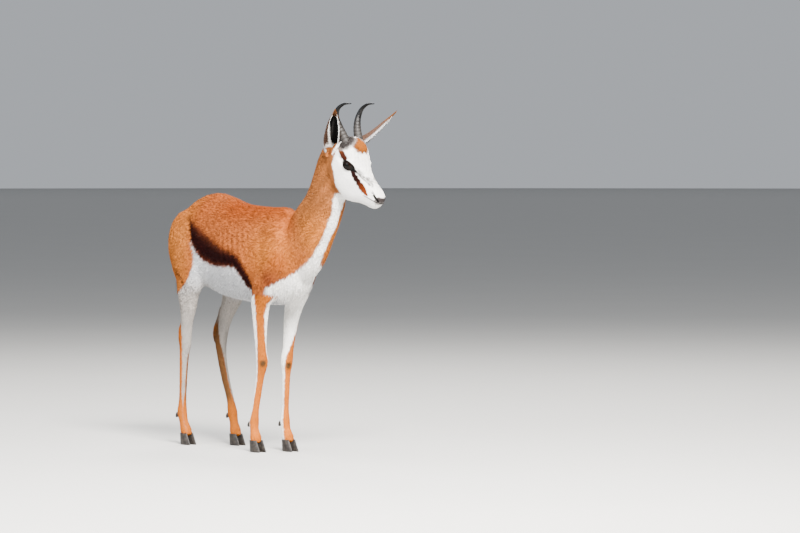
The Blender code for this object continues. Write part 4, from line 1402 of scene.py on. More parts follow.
@dataclass(frozen=True)
class Lie:
    """The way the coat lies at each place."""

    def directions(self, points: np.ndarray, normals: np.ndarray, parts: np.ndarray) -> np.ndarray:
        """Unit directions along the skin.

        The trunk's coat runs back and, lower down, more steeply down; the neck's runs down the
        neck, the face's from the nose to the poll, the legs' down, an ear's and the tail's to
        the tip. The ways blend softly where parts meet.

        Args:
            points: Points of the body.
            normals: The outward directions there.
            parts: The number of each point's part.

        Returns:
            One direction a point.
        """
        x, z = points[:, 0], points[:, 2]
        rear = 1 - ramp(x, -0.46, -0.34)
        fall = 0.30 + 0.9 * ramp(x, 0.0, 0.10) + 2.4 * rear
        fall = fall + 0.55 * (1 - ramp(z, 0.56, 0.72)) * (1 - rear)
        way = unit(np.column_stack([-np.ones(len(x)), np.zeros(len(x)), -fall]))
        neck = np.array((-0.66, 0.0, -0.75))
        share = ramp(ATLAS.beyond(points, ATLAS.neck_plane), -0.07, 0.05)[:, None]
        way = way * (1 - share) + neck * share
        face = -HEAD.axes()[0] - 0.25 * HEAD.axes()[2]
        share = ramp(ATLAS.beyond(points, ATLAS.head_plane), -0.02, 0.03) * ramp(z, 0.72, 0.78)
        way = way * (1 - share[:, None]) + face * share[:, None]
        down = 1 - ramp(z, 0.42, 0.52)
        way = way * (1 - down[:, None]) + np.array((-0.10, 0.0, -1.0)) * down[:, None]
        for ear, part in zip(EARS, (Part.EAR_RIGHT, Part.EAR_LEFT)):
            at = parts == part.value
            _, axis, _, _, _ = ear.frame()
            way[at] = axis
        at = parts == Part.TAIL.value
        way[at] = (0.05, 0.0, -1.0)
        flat = way - normals * (way * normals).sum(axis=1, keepdims=True)
        return unit(flat)


LIE = Lie()


def wander(points: np.ndarray, size: float) -> np.ndarray:
    """Smooth values from -1 to 1: the mean of sines of the place along five slanted ways."""
    ways = np.array(
        ((1.0, 0.3, 0.2), (-0.4, 1.1, 0.5), (0.3, -0.6, 1.2), (0.8, 0.9, -0.7), (-1.1, 0.5, 0.9))
    )
    phase = np.arange(5) * 1.7
    return np.sin(points @ ways.T * (TURN / size) + phase).mean(axis=1) * 1.6


@dataclass(frozen=True)
class Palette:
    """The coat's colours, as linear light."""

    back: tuple = (0.178, 0.032, 0.003)
    flank: tuple = (0.262, 0.07, 0.0165)
    shoulder: tuple = (0.42, 0.127, 0.016)
    neck: tuple = (0.215, 0.073, 0.02)
    thigh: tuple = (0.295, 0.093, 0.017)
    leg: tuple = (0.32, 0.084, 0.007)
    # Dark brown: painted shade on the hind legs' rear and inner sides, and the colour of the knee spots and the hock's
    # line.
    leg_rear: tuple = (0.085, 0.042, 0.017)
    band: tuple = (0.008, 0.0006, 0.0005)
    band_edge: tuple = (0.055, 0.012, 0.0045)
    # A white darkened and made bluer as painted shade; it serves the belly, the inner legs, the tail's white and the
    # pale parts of the ears.
    belly: tuple = (0.44, 0.445, 0.465)
    face: tuple = (0.82, 0.805, 0.775)
    stripe: tuple = (0.008, 0.0016, 0.001)
    stripe_end: tuple = (0.115, 0.02, 0.003)
    brown: tuple = (0.034, 0.007, 0.0028)
    forehead: tuple = (0.17, 0.047, 0.005)
    grey: tuple = (0.19, 0.175, 0.165)
    dark_grey: tuple = (0.022, 0.019, 0.018)
    black: tuple = (0.002, 0.0017, 0.0016)
    ear_back: tuple = (0.058, 0.031, 0.021)
    ear_tip: tuple = (0.075, 0.028, 0.0090)
    # A white darkened as painted shade, for the hind legs' white.
    hind_white: tuple = (0.265, 0.242, 0.222)
    nose: tuple = (0.022, 0.018, 0.018)


def laid(base: np.ndarray, colour: Any, weight: np.ndarray) -> np.ndarray:
    """A colour laid over others by a weight from 0 to 1."""
    return base + (np.asarray(colour, float) - base) * weight[:, None]


def line_gap(points: np.ndarray, rows: Any, columns: tuple[int, ...] = (0, 1, 2)) -> tuple[np.ndarray, np.ndarray]:
    """Distances to a smooth line.

    Args:
        points: Points with as many columns as the line's places.
        rows: The line's stations: a place, then half the line's width.
        columns: The columns of the place that count.

    Returns:
        The distance in half widths, and the share along the line.
    """
    read = smooth_rows(rows, 60)
    gap = np.linalg.norm(points[:, None][..., list(columns)] - read[None][..., list(columns)], axis=2)
    gap = gap / np.maximum(read[None, :, 3], 1e-5)
    nearest = gap.argmin(axis=1)
    return gap[np.arange(len(points)), nearest], nearest / 59.0


@dataclass(frozen=True)
class Markings:
    """The springbok's pattern, as edges and lines on the body and the head."""

    colours: Palette = Palette()
    # Dark band of the flank: x and z of its upper edge and of its lower edge.
    band_top: tuple = (
        (-0.417, 0.724), (-0.391, 0.713), (-0.351, 0.693), (-0.310, 0.671), (-0.259, 0.648),
        (-0.196, 0.626), (-0.156, 0.619), (-0.123, 0.612), (-0.102, 0.594), (-0.084, 0.575),
        (-0.068, 0.552), (-0.060, 0.528), (-0.052, 0.507), (-0.040, 0.480),
    )
    band_low: tuple = (
        (-0.413, 0.717), (-0.388, 0.690), (-0.372, 0.656), (-0.366, 0.634), (-0.345, 0.610),
        (-0.322, 0.588), (-0.292, 0.577), (-0.252, 0.569), (-0.196, 0.567), (-0.138, 0.569),
        (-0.115, 0.554), (-0.100, 0.536), (-0.084, 0.509), (-0.062, 0.490), (-0.044, 0.470),
    )
    # Where the thigh's tan ends ahead: z and x.
    thigh_edge: tuple = (
        (0.440, -0.560), (0.470, -0.462), (0.489, -0.422), (0.512, -0.388), (0.534, -0.371),
        (0.556, -0.361), (0.594, -0.354), (0.628, -0.366), (0.660, -0.370),
    )
    # Where the chest's white begins: x and z.
    chest_edge: tuple = (
        (0.010, 0.490), (0.026, 0.506), (0.043, 0.516), (0.057, 0.525), (0.071, 0.534),
        (0.091, 0.541), (0.110, 0.553), (0.133, 0.566), (0.154, 0.572), (0.169, 0.576),
    )
    # White stripe down the front of the neck: z, its middle's y, half width.
    neck_stripe: tuple = (
        (0.550, -0.012, 0.026), (0.600, -0.011, 0.016), (0.625, -0.008, 0.013),
        (0.646, -0.004, 0.011), (0.694, 0.000, 0.015), (0.743, 0.004, 0.014),
        (0.782, 0.008, 0.020), (0.815, 0.010, 0.024),
    )
    # White patch round the tail: z and half width.
    rump_patch: tuple = (
        (0.480, 0.046), (0.560, 0.050), (0.620, 0.049), (0.680, 0.042), (0.740, 0.028), (0.775, 0.012),
    )
    # Thin line over the thigh's rear: x, distance from the middle, z, half width.
    thigh_line: tuple = (
        (-0.466, 0.105, 0.564, 0.0010), (-0.450, 0.106, 0.554, 0.0034), (-0.430, 0.106, 0.540, 0.0050),
        (-0.410, 0.103, 0.519, 0.0050), (-0.398, 0.101, 0.500, 0.0036), (-0.394, 0.098, 0.486, 0.0014),
    )
    # Tan of the legs: z, then the angles that it spans, from straight ahead, outwards positive.
    fore_tan: tuple = (
        (0.030, -85, 125), (0.100, -68, 112), (0.200, -58, 84), (0.277, -52, 86), (0.300, -38, 86),
        (0.370, -3, 72), (0.430, 8, 76), (0.460, 2, 84), (0.490, -30, 115),
    )
    hind_white: tuple = (
        (0.120, 30, 30), (0.135, 22, 40), (0.160, 8, 52), (0.240, -2, 60), (0.280, -12, 66),
        (0.330, -52, 78), (0.360, -100, 112), (0.395, -176, 172),
    )
    knee_spots: tuple = ((-0.031, -0.056, 0.273, 0.0140), (-0.033, 0.041, 0.264, 0.0120))
    # Head: where the neck's tan ends: U and F.
    nape_edge: tuple = (
        (-0.110, 0.010), (-0.070, -0.0035), (-0.053, -0.020), (-0.040, -0.043), (-0.020, -0.052),
        (0.000, -0.058), (0.020, -0.060), (0.050, -0.066),
    )
    # Stripe from eye to mouth: F, distance from the middle, U, half width.
    eye_stripe: tuple = (
        (0.0220, 0.0389, 0.0010, 0.0050), (0.0370, 0.0365, -0.0070, 0.0070), (0.0546, 0.0323, -0.0103, 0.0092),
        (0.0737, 0.0285, -0.0140, 0.0100), (0.0929, 0.0251, -0.0170, 0.0084), (0.1070, 0.0231, -0.0185, 0.0038),
    )
    nose_stripe: tuple = (
        (0.0334, 0.0318, 0.0097, 0.0030), (0.0521, 0.0270, 0.0080, 0.0046), (0.0666, 0.0222, 0.0093, 0.0052),
        (0.0883, 0.0179, 0.0102, 0.0046), (0.0998, 0.0173, 0.0093, 0.0022),
    )
    brow_stripe: tuple = (
        (-0.0100, 0.0453, 0.0070, 0.0066), (-0.0200, 0.0460, 0.0090, 0.0092), (-0.0300, 0.0466, 0.0112, 0.0092),
        (-0.0422, 0.0467, 0.0145, 0.0080), (-0.0560, 0.0455, 0.0190, 0.0080), (-0.0700, 0.0456, 0.0262, 0.0074),
    )
    forehead_at: tuple = (-0.0305, 0.0010, 0.052)
    forehead_size: tuple = (0.0292, 0.0325, 0.044)
    horn_root: tuple = (-0.062, 0.030, 0.040)
    spot_at: tuple = (0.046, 0.022, 0.015)
    # How much later the left foreleg's tan begins, in degrees, by height.
    left_fore_shift: tuple = ((0.300, 0.0), (0.370, 34.0), (0.470, 44.0))

    def edge(self, table: tuple, at: np.ndarray, column: int = 1) -> np.ndarray:
        """Reads one column of an edge's table by its first."""
        rows = np.array(table)
        return np.interp(at, rows[:, 0], rows[:, column])

    def trunk(self, points: np.ndarray, normals: np.ndarray) -> np.ndarray:
        """The trunk's and the neck's colours: tan, with white, band and lines laid over it, and painted highlight and
        shade on the shoulder, the upper arm, the withers and the whites.
        """
        tone = self.colours
        x, y, z = points.T
        spread = np.abs(y)
        rough = wander(points, 0.024) * 0.0022 + wander(points, 0.008) * 0.0012
        base = np.tile(np.array(tone.flank), (len(x), 1))
        base = laid(base, tone.back, ramp(z, 0.66, 0.765) * (0.35 + 0.65 * ramp(x, -0.32, -0.18)))
        # A painted highlight: a lighter tan over the shoulder.
        light = np.exp(-(((x - 0.035) / 0.10) ** 2) - ((z - 0.610) / 0.075) ** 2)
        base = laid(base, tone.shoulder, 0.75 * light)
        base = laid(base, tone.thigh, 1 - ramp(x, -0.42, -0.33))
        base = laid(base, tone.back, 0.3 * (1 - ramp(x, -0.40, -0.28)) * ramp(z, 0.66, 0.75))
        deep = np.exp(-(((x - 0.072) / 0.028) ** 2) - ((z - 0.590) / 0.045) ** 2)
        base = laid(base, tone.back, 0.55 * deep)
        on_neck = ramp(ATLAS.beyond(points, ATLAS.neck_plane), -0.06, 0.06)
        base = laid(base, tone.neck, on_neck)
        base = laid(base, tone.shoulder, 0.7 * on_neck * (1 - ramp(z, 0.66, 0.78)) * ramp(x, 0.10, 0.20))
        # Painted shade: dark brown over the upper arm behind the elbow.
        arm_shade = np.exp(-(((x - 0.040) / 0.034) ** 2) - ((z - 0.528) / 0.050) ** 2)
        base = laid(base, (0.118, 0.0255, 0.0080), 0.9 * arm_shade)
        # Painted shade: darker brown where the neck meets the shoulder.
        withers_shade = np.exp(-(((x - 0.090) / 0.050) ** 2) - ((z - 0.705) / 0.045) ** 2)
        base = laid(base, tone.back, 0.42 * withers_shade)
        off = points - np.array((0.148, 0.0, 0.690))
        down = np.column_stack([off @ (0.66, 0.0, 0.75) * 0.10, y, off @ (0.75, 0.0, -0.66)])
        base = base * (1 + 0.18 * on_neck * wander(down, 0.034))[:, None]
        low, top = self.edge(self.band_low, x), self.edge(self.band_top, x)
        behind_leg = 1 - ramp(x + 0.3 * (z - 0.47), -0.050, -0.036)
        ahead_of_thigh = ramp(x - self.edge(self.thigh_edge, z) + rough, -0.005, 0.004)
        belly = ramp(low - z + rough, -0.004, 0.003) * ahead_of_thigh * behind_leg
        chest = ramp(self.edge(self.chest_edge, x) - z + rough, -0.004, 0.004) * ramp(x, 0.012, 0.030)
        inside = ramp(-normals[:, 1] * np.sign(y), 0.10, 0.50) * (1 - ramp(z, 0.56, 0.62))
        under = ramp(-normals[:, 2], 0.45, 0.75) * (1 - ramp(z, 0.52, 0.60)) * (1 - ramp(spread, 0.045, 0.07))
        white = np.maximum.reduce([belly, chest, inside, under])
        # The white is laid with painted shade: the darker, bluer belly tone below, full white only towards the chest.
        base = laid(base, tone.belly, np.clip(white, 0, 1))
        base = laid(base, tone.face, np.clip(white, 0, 1) * ramp(x, -0.005, 0.060))
        # Painted shade: towards the hind legs the white turns into the darker hind white.
        hind = (1 - ramp(x, -0.38, -0.28)) * (1 - ramp(z, 0.46, 0.56))
        base = laid(base, tone.hind_white, np.clip(white, 0, 1) * hind)
        ventral = normals @ unit(np.array((0.75, 0.0, -0.66)))
        off_middle = np.abs(y - self.edge(self.neck_stripe, z)) - self.edge(self.neck_stripe, z, 2)
        stripe = ramp(rough - off_middle, -0.003, 0.003) * ramp(ventral, 0.05, 0.30)
        stripe = stripe * ramp(x, 0.10, 0.14) * ramp(z, 0.54, 0.57)
        base = laid(base, tone.face, stripe)
        tall = (z - low) / np.maximum(top - low, 0.004)
        band = ramp(top - z + rough, -0.012, 0.015) * ramp(z - low + rough, -0.003, 0.004)
        band = band * ramp(x, -0.416, -0.404) * (1 - ramp(x, -0.054, -0.036))
        band = band * ramp(spread, 0.020, 0.045)
        core = ramp(tall, 0.0, 0.26) * (1 - 0.9 * ramp(tall, 0.52, 1.0))
        dark = np.array(tone.band_edge) + (np.array(tone.band) - tone.band_edge) * core[:, None]
        base = base + (dark - base) * band[:, None]
        patch = ramp(self.edge(self.rump_patch, z) - spread + rough, -0.004, 0.003)
        rear = ramp(-normals[:, 0], 0.15, 0.40) * (1 - ramp(x, -0.46, -0.42))
        base = laid(base, np.array(tone.face) * 0.8, patch * rear)
        mirrored = np.column_stack([x, spread, z])
        near = (x < -0.37) & (z < 0.70) & (z > 0.45) & (spread > 0.045)
        gap = np.full(len(x), 9.0)
        gap[near] = line_gap(mirrored[near], self.thigh_line, (0, 2))[0]
        return laid(base, tone.brown, 0.9 * (1 - ramp(gap + rough * 60, 0.35, 1.5)))

    def face(self, points: np.ndarray, normals: np.ndarray) -> np.ndarray:
        """The head's colours: white, with its stripes, patches, rims, nose and mouth."""
        tone = self.colours
        own = HEAD.read(points)
        mirrored = np.column_stack([own[:, 0], np.abs(own[:, 1]), own[:, 2]])
        rough = wander(points, 0.016) * 0.0016
        base = np.tile(np.array(tone.face), (len(points), 1))
        nape = ramp(self.edge(self.nape_edge, own[:, 2]) - own[:, 0] + rough, -0.003, 0.003)
        base = laid(base, tone.neck, nape)
        hairs = wander(own * np.array((0.16, 1.0, 1.0)), 0.0042)
        brow = np.exp(-(((own[:, 0] + 0.004) / 0.024) ** 2) - ((mirrored[:, 1] - 0.024) / 0.011) ** 2)
        base = laid(base, np.array(tone.grey) * 0.6, 0.7 * brow * ramp(hairs, -0.3, 0.6) * (own[:, 2] > 0.01))
        # Grey over the nose bridge: partly its greyish hairs, partly painted shade on the face's top.
        bridge = np.exp(-((own[:, 1] / 0.022) ** 2)) * ramp(own[:, 2], 0.0, 0.012) * ramp(own[:, 0], -0.01, 0.02)
        base = laid(base, tone.grey, bridge * (0.20 + 0.34 * ramp(hairs, 0.0, 0.8)))
        gap, _ = line_gap(mirrored, self.nose_stripe, (0, 2))
        base = laid(base, np.array(tone.grey) * 0.36, 0.9 * (1 - ramp(gap + rough * 200, 0.6, 1.5)) * ramp(hairs, -1.2, 0.2))
        gap, along = line_gap(mirrored, self.brow_stripe, (0, 2))
        outer = ramp(mirrored[:, 1], 0.026, 0.034)
        tint = np.array(tone.brown) + (np.array(tone.forehead) - tone.brown) * ramp(along, 0.35, 0.95)[:, None]
        weight = (1 - ramp(gap + rough * 110, 0.85, 1.25)) * outer
        base = base + (tint - base) * weight[:, None]
        shape = (np.abs(own - self.forehead_at) / np.array(self.forehead_size)) ** 2.4
        size = shape.sum(axis=1) ** (1 / 2.4) + rough * 50 + hairs * 0.06
        shade = np.array(tone.forehead) * (1 - 0.42 * np.exp(-(((size - 0.78) / 0.20) ** 2)))[:, None]
        base = base + (shade - base) * (1 - ramp(size, 0.84, 1.06))[:, None]
        root = np.linalg.norm(mirrored - np.array(self.horn_root), axis=1) + rough * 0.8 + hairs * 0.0012
        base = laid(base, tone.grey, 0.85 * (1 - ramp(root, 0.028, 0.037)))
        base = laid(base, tone.dark_grey, 1 - ramp(root, 0.023, 0.032))
        spot = np.linalg.norm(own - np.array(self.spot_at) * (1, -1, 1), axis=1)
        base = laid(base, tone.black, 1 - ramp(spot, 0.0016, 0.0030))
        gap, along = line_gap(mirrored, self.eye_stripe, (0, 2))
        stripe = np.array(tone.stripe) + (np.array(tone.stripe_end) - tone.stripe) * ramp(along, 0.35, 0.92)[:, None]
        weight = (1 - ramp(gap + rough * 120, 0.80, 1.18)) * ramp(mirrored[:, 1], 0.010, 0.015)
        base = base + (stripe - base) * weight[:, None]
        for side in Side:
            reach, a, b = EYE.read(points, side)
            rim = np.hypot(a * 0.77, b * 0.76)
            rim = np.where(reach > 5, 9.0, rim)
            base = laid(base, tone.black, 1 - ramp(rim, 0.98, 1.08))
            base = laid(base, tone.black, 1 - ramp(np.hypot((a - 1.18) / 0.34, (b + 0.25) / 0.42), 0.8, 1.2))
        return self.muzzle(base, own)

    def muzzle(self, base: np.ndarray, own: np.ndarray) -> np.ndarray:
        """The nose's bare skin, the nostrils, the lips and the mouth's line, laid over the face."""
        tone = self.colours
        above, line = MUZZLE.mouth(own)
        reach, _ = MUZZLE.slits(own)
        base = laid(base, tone.nose, self.bare(own))
        base = laid(base, tone.grey, 0.45 * line * (1 - ramp(np.abs(above), 0.0020, 0.0050)))
        base = laid(base, tone.black, line * (1 - ramp(np.abs(above), 0.0007, 0.0016)))
        return laid(base, tone.black, 1 - ramp(reach, 1.0, 1.7))

    def bare(self, own: np.ndarray) -> np.ndarray:
        """1 on the nose's bare skin between and below the nostrils, 0 on fur."""
        front = ramp(own[:, 0] - 0.20 * np.abs(own[:, 2] + 0.006), 0.1325, 0.1365)
        return front * ramp(own[:, 2], -0.0185, -0.0135) * (1 - ramp(own[:, 2], 0.0035, 0.0070))

    def ear(self, ear: Ear, points: np.ndarray, normals: np.ndarray) -> np.ndarray:
        """An ear's colours: black within white rims inside, grey brown outside."""
        tone = self.colours
        share, across, _, away = ear.read(points)
        inner = (normals * away).sum(axis=1) < 0
        rim = ramp(np.abs(across), 0.74, 0.88)
        inside = np.tile(np.array(tone.black), (len(points), 1))
        ridge = (1 - ramp(np.abs(across + 0.05), 0.05, 0.16)) * ramp(share, 0.25, 0.40) * (1 - ramp(share, 0.62, 0.78))
        inside = laid(inside, tone.grey, 0.07 * ridge)
        inside = laid(inside, tone.face, np.maximum(rim, 1 - ramp(share, 0.08, 0.20)))
        if ear.side is Side.LEFT:
            inside = laid(inside, tone.belly, ramp(across, 0.0, 0.3))
        else:
            limit = np.interp(share, (0.12, 0.35, 0.60, 0.85), (0.05, -0.20, -0.50, -0.88))
            inside = laid(inside, tone.face, ramp(limit - across, -0.07, 0.0))
            inside = laid(inside, tone.ear_back, ramp(limit - across, 0.13, 0.20) * ramp(share, 0.10, 0.20))
        inside = laid(inside, tone.ear_tip, ramp(share, 0.80, 0.90))
        outside = np.tile(np.array(tone.ear_back), (len(points), 1))
        low_edge = ramp(-across, 0.76, 0.92) * (ear.side is Side.LEFT)
        outside = laid(outside, tone.belly, 0.85 * low_edge)
        outside = laid(outside, tone.ear_tip, ramp(share, 0.68, 0.86))
        outside = laid(outside, tone.belly, 0.8 * (1 - ramp(share, 0.16, 0.30)))
        return np.where(inner[:, None], inside, outside)

    def leg(self, part: Part, points: np.ndarray) -> np.ndarray:
        """A leg's colours by the height and by the angle round it, from straight ahead."""
        tone = self.colours
        fore = part in (Part.FORE_RIGHT, Part.FORE_LEFT)
        z = points[:, 2] + wander(points, 0.02) * 0.002
        ahead, outward = ATLAS.leg_frame(points, part)
        angle = np.degrees(np.arctan2(outward, ahead)) + wander(points, 0.014) * 5
        if not fore:
            table = self.hind_white
        else:
            table = self.fore_tan
        low, high = self.edge(table, z), self.edge(table, z, 2)
        if part is Part.FORE_LEFT:
            low = low + self.edge(self.left_fore_shift, z)
        span = ramp(angle - low, -7.0, 7.0) * ramp(high - angle, -7.0, 7.0)
        if fore:
            tan = np.array(tone.leg) * (1 + 0.25 * (1 - ramp(z, 0.20, 0.30)))[:, None]
            base = laid(np.tile(np.array(tone.face), (len(z), 1)), tan, span)
            for x, y, height, radius in self.knee_spots:
                gap = np.linalg.norm(points - (x, y, height), axis=1)
                base = laid(base, np.array(tone.leg_rear) * 0.7, 1 - ramp(gap, radius * 0.55, radius * 1.25))
            return base
        # Painted shade: darker brown down the back of the hind cannon and over its inner side.
        rear = ramp(np.abs(angle), 115, 150) * (1 - ramp(z, 0.30, 0.36)) * ramp(z, 0.09, 0.13)
        tan = laid(np.tile(np.array(tone.leg), (len(z), 1)), tone.leg_rear, 0.65 * rear)
        inner = ramp(-angle, -20, 30) * (1 - ramp(-angle, 165, 180))
        tan = laid(tan, tone.leg_rear, 0.92 * inner * ramp(z, 0.11, 0.16))
        # The hind leg's white is the darker hind white, painted shade.
        base = laid(tan, tone.hind_white, np.maximum(span, ramp(z, 0.372, 0.400)))
        hock = ramp(np.abs(angle), 140, 165) * ramp(z, 0.37, 0.39) * (1 - ramp(z, 0.43, 0.47))
        return laid(base, tone.leg_rear, 0.5 * hock)

    def paint(self, points: np.ndarray, normals: np.ndarray, parts: np.ndarray) -> np.ndarray:
        """The coat's colour at each place.

        Args:
            points: Points of the body.
            normals: The outward directions there.
            parts: The number of each point's part.

        Returns:
            One linear colour a point.
        """
        made = np.zeros((len(points), 3))
        for part in Part:
            at = parts == part.value
            if not at.any():
                continue
            here, facing = points[at], normals[at]
            if part in (Part.TORSO, Part.NECK):
                made[at] = self.trunk(here, facing)
            elif part is Part.FACE:
                made[at] = self.face(here, facing)
            elif part in (Part.EAR_RIGHT, Part.EAR_LEFT):
                made[at] = self.ear(EARS[0] if part is Part.EAR_RIGHT else EARS[1], here, facing)
            elif part is Part.TAIL:
                white = np.tile(np.array(self.colours.belly), (len(here), 1))
                made[at] = laid(white, self.colours.black, 1 - ramp(here[:, 2], 0.575, 0.600))
            else:
                made[at] = self.leg(part, here)
        elbow = (parts == Part.TORSO.value) & (points[:, 2] < 0.486) & (points[:, 0] > -0.085)
        elbow = elbow & (points[:, 0] < 0.030) & (np.abs(points[:, 1]) > 0.036)
        for side, part in ((Side.RIGHT, Part.FORE_RIGHT), (Side.LEFT, Part.FORE_LEFT)):
            at = elbow & (np.sign(points[:, 1]) == side.value)
            made[at] = self.leg(part, points[at])
        return made * (1 + 0.05 * wander(points, 0.06))[:, None]


MARKS = Markings()


@dataclass(frozen=True)
class Tufts:
    """Thin tufts of hair, each a low three-sided blade that bends along its length."""

    sink: float = 0.0006
    ridge: float = 0.22
    middle: float = 0.62
    settle: float = 0.70
    sway: float = 0.07
    # Painted shade darkens each tuft's root and painted light brightens its tip.
    root_shade: float = 0.77
    tip_shade: float = 1.11
    uneven: float = 0.16
    patch: float = 0.0014
    # Corner by corner: root left, root right, root ridge, middle left, right, ridge, and tip.
    faces: tuple = (
        (0, 2, 1), (0, 3, 5), (0, 5, 2), (2, 5, 4), (2, 4, 1),
        (0, 1, 4), (0, 4, 3), (3, 6, 5), (5, 6, 4), (4, 6, 3),
    )
    corners: tuple = (
        (-1.0, -1.0), (1.0, -1.0), (0.0, -0.6), (-0.7, 0.2), (0.7, 0.2), (0.0, 0.3), (0.0, 1.0),
    )

    def grow(self, root: np.ndarray, normal: np.ndarray, way: np.ndarray, size: np.ndarray,
             draw: np.random.Generator) -> Surface:
        """Builds every tuft at once.

        The blade's path leaves the root at its lift above the skin and settles back towards it:
        the middle lies at half the length, the tip at the whole length but at only part of
        that rise. Three corners stand at the root, three at the middle and one is the tip.

        Args:
            root: Places on the skin.
            normal: Outward directions there.
            way: Unit directions of the lie.
            size: Length, width and lift in radians of each tuft.
            draw: The source of random draws.

        Returns:
            One surface with seven points a tuft.
        """
        count = len(root)
        across = np.cross(way, normal)
        way = unit(way + across * draw.normal(0.0, self.sway, (count, 1)))
        across = unit(np.cross(way, normal))
        length = size[:, :1] * draw.uniform(0.72, 1.18, (count, 1))
        width = size[:, 1:2] * draw.uniform(0.80, 1.20, (count, 1))
        rise = length * np.sin(size[:, 2:3] * draw.uniform(0.55, 1.45, (count, 1)))
        base = root - normal * self.sink
        mid = root + way * length * 0.5 + normal * rise * 0.5
        tip = root + way * length + normal * rise * self.settle
        points = [
            base - across * width * 0.4,
            base + across * width * 0.4,
            base + normal * width * self.ridge,
            mid - across * width * 0.5 * self.middle,
            mid + across * width * 0.5 * self.middle,
            mid + normal * width * self.ridge,
            tip,
        ]
        points = np.stack(points, axis=1).reshape(-1, 3)
        faces = (np.arange(count) * 7)[:, None, None] + np.array(self.faces)[None]
        return Surface(points, faces.reshape(-1, 3)).outwards()

    def colours(self, colour: np.ndarray, draw: np.random.Generator) -> np.ndarray:
        """Each tuft's colour at its seven corners: darker at the root as painted shade, lighter at the tip as painted
        light.
        """
        shade = 1 + draw.normal(0.0, self.uneven, (len(colour), 1, 1))
        ladder = np.array([self.root_shade] * 3 + [1.0] * 3 + [self.tip_shade])[None, :, None]
        made = colour[:, None, :] * ladder * np.clip(shade, 0.55, 1.5)
        return np.clip(made, 0.0, 0.93).reshape(-1, 3)

    def chart(self, place: np.ndarray) -> np.ndarray:
        """Each tuft as a small patch of the map, at its root's place."""
        return (place[:, None] + np.array(self.corners) * self.patch).reshape(-1, 2)


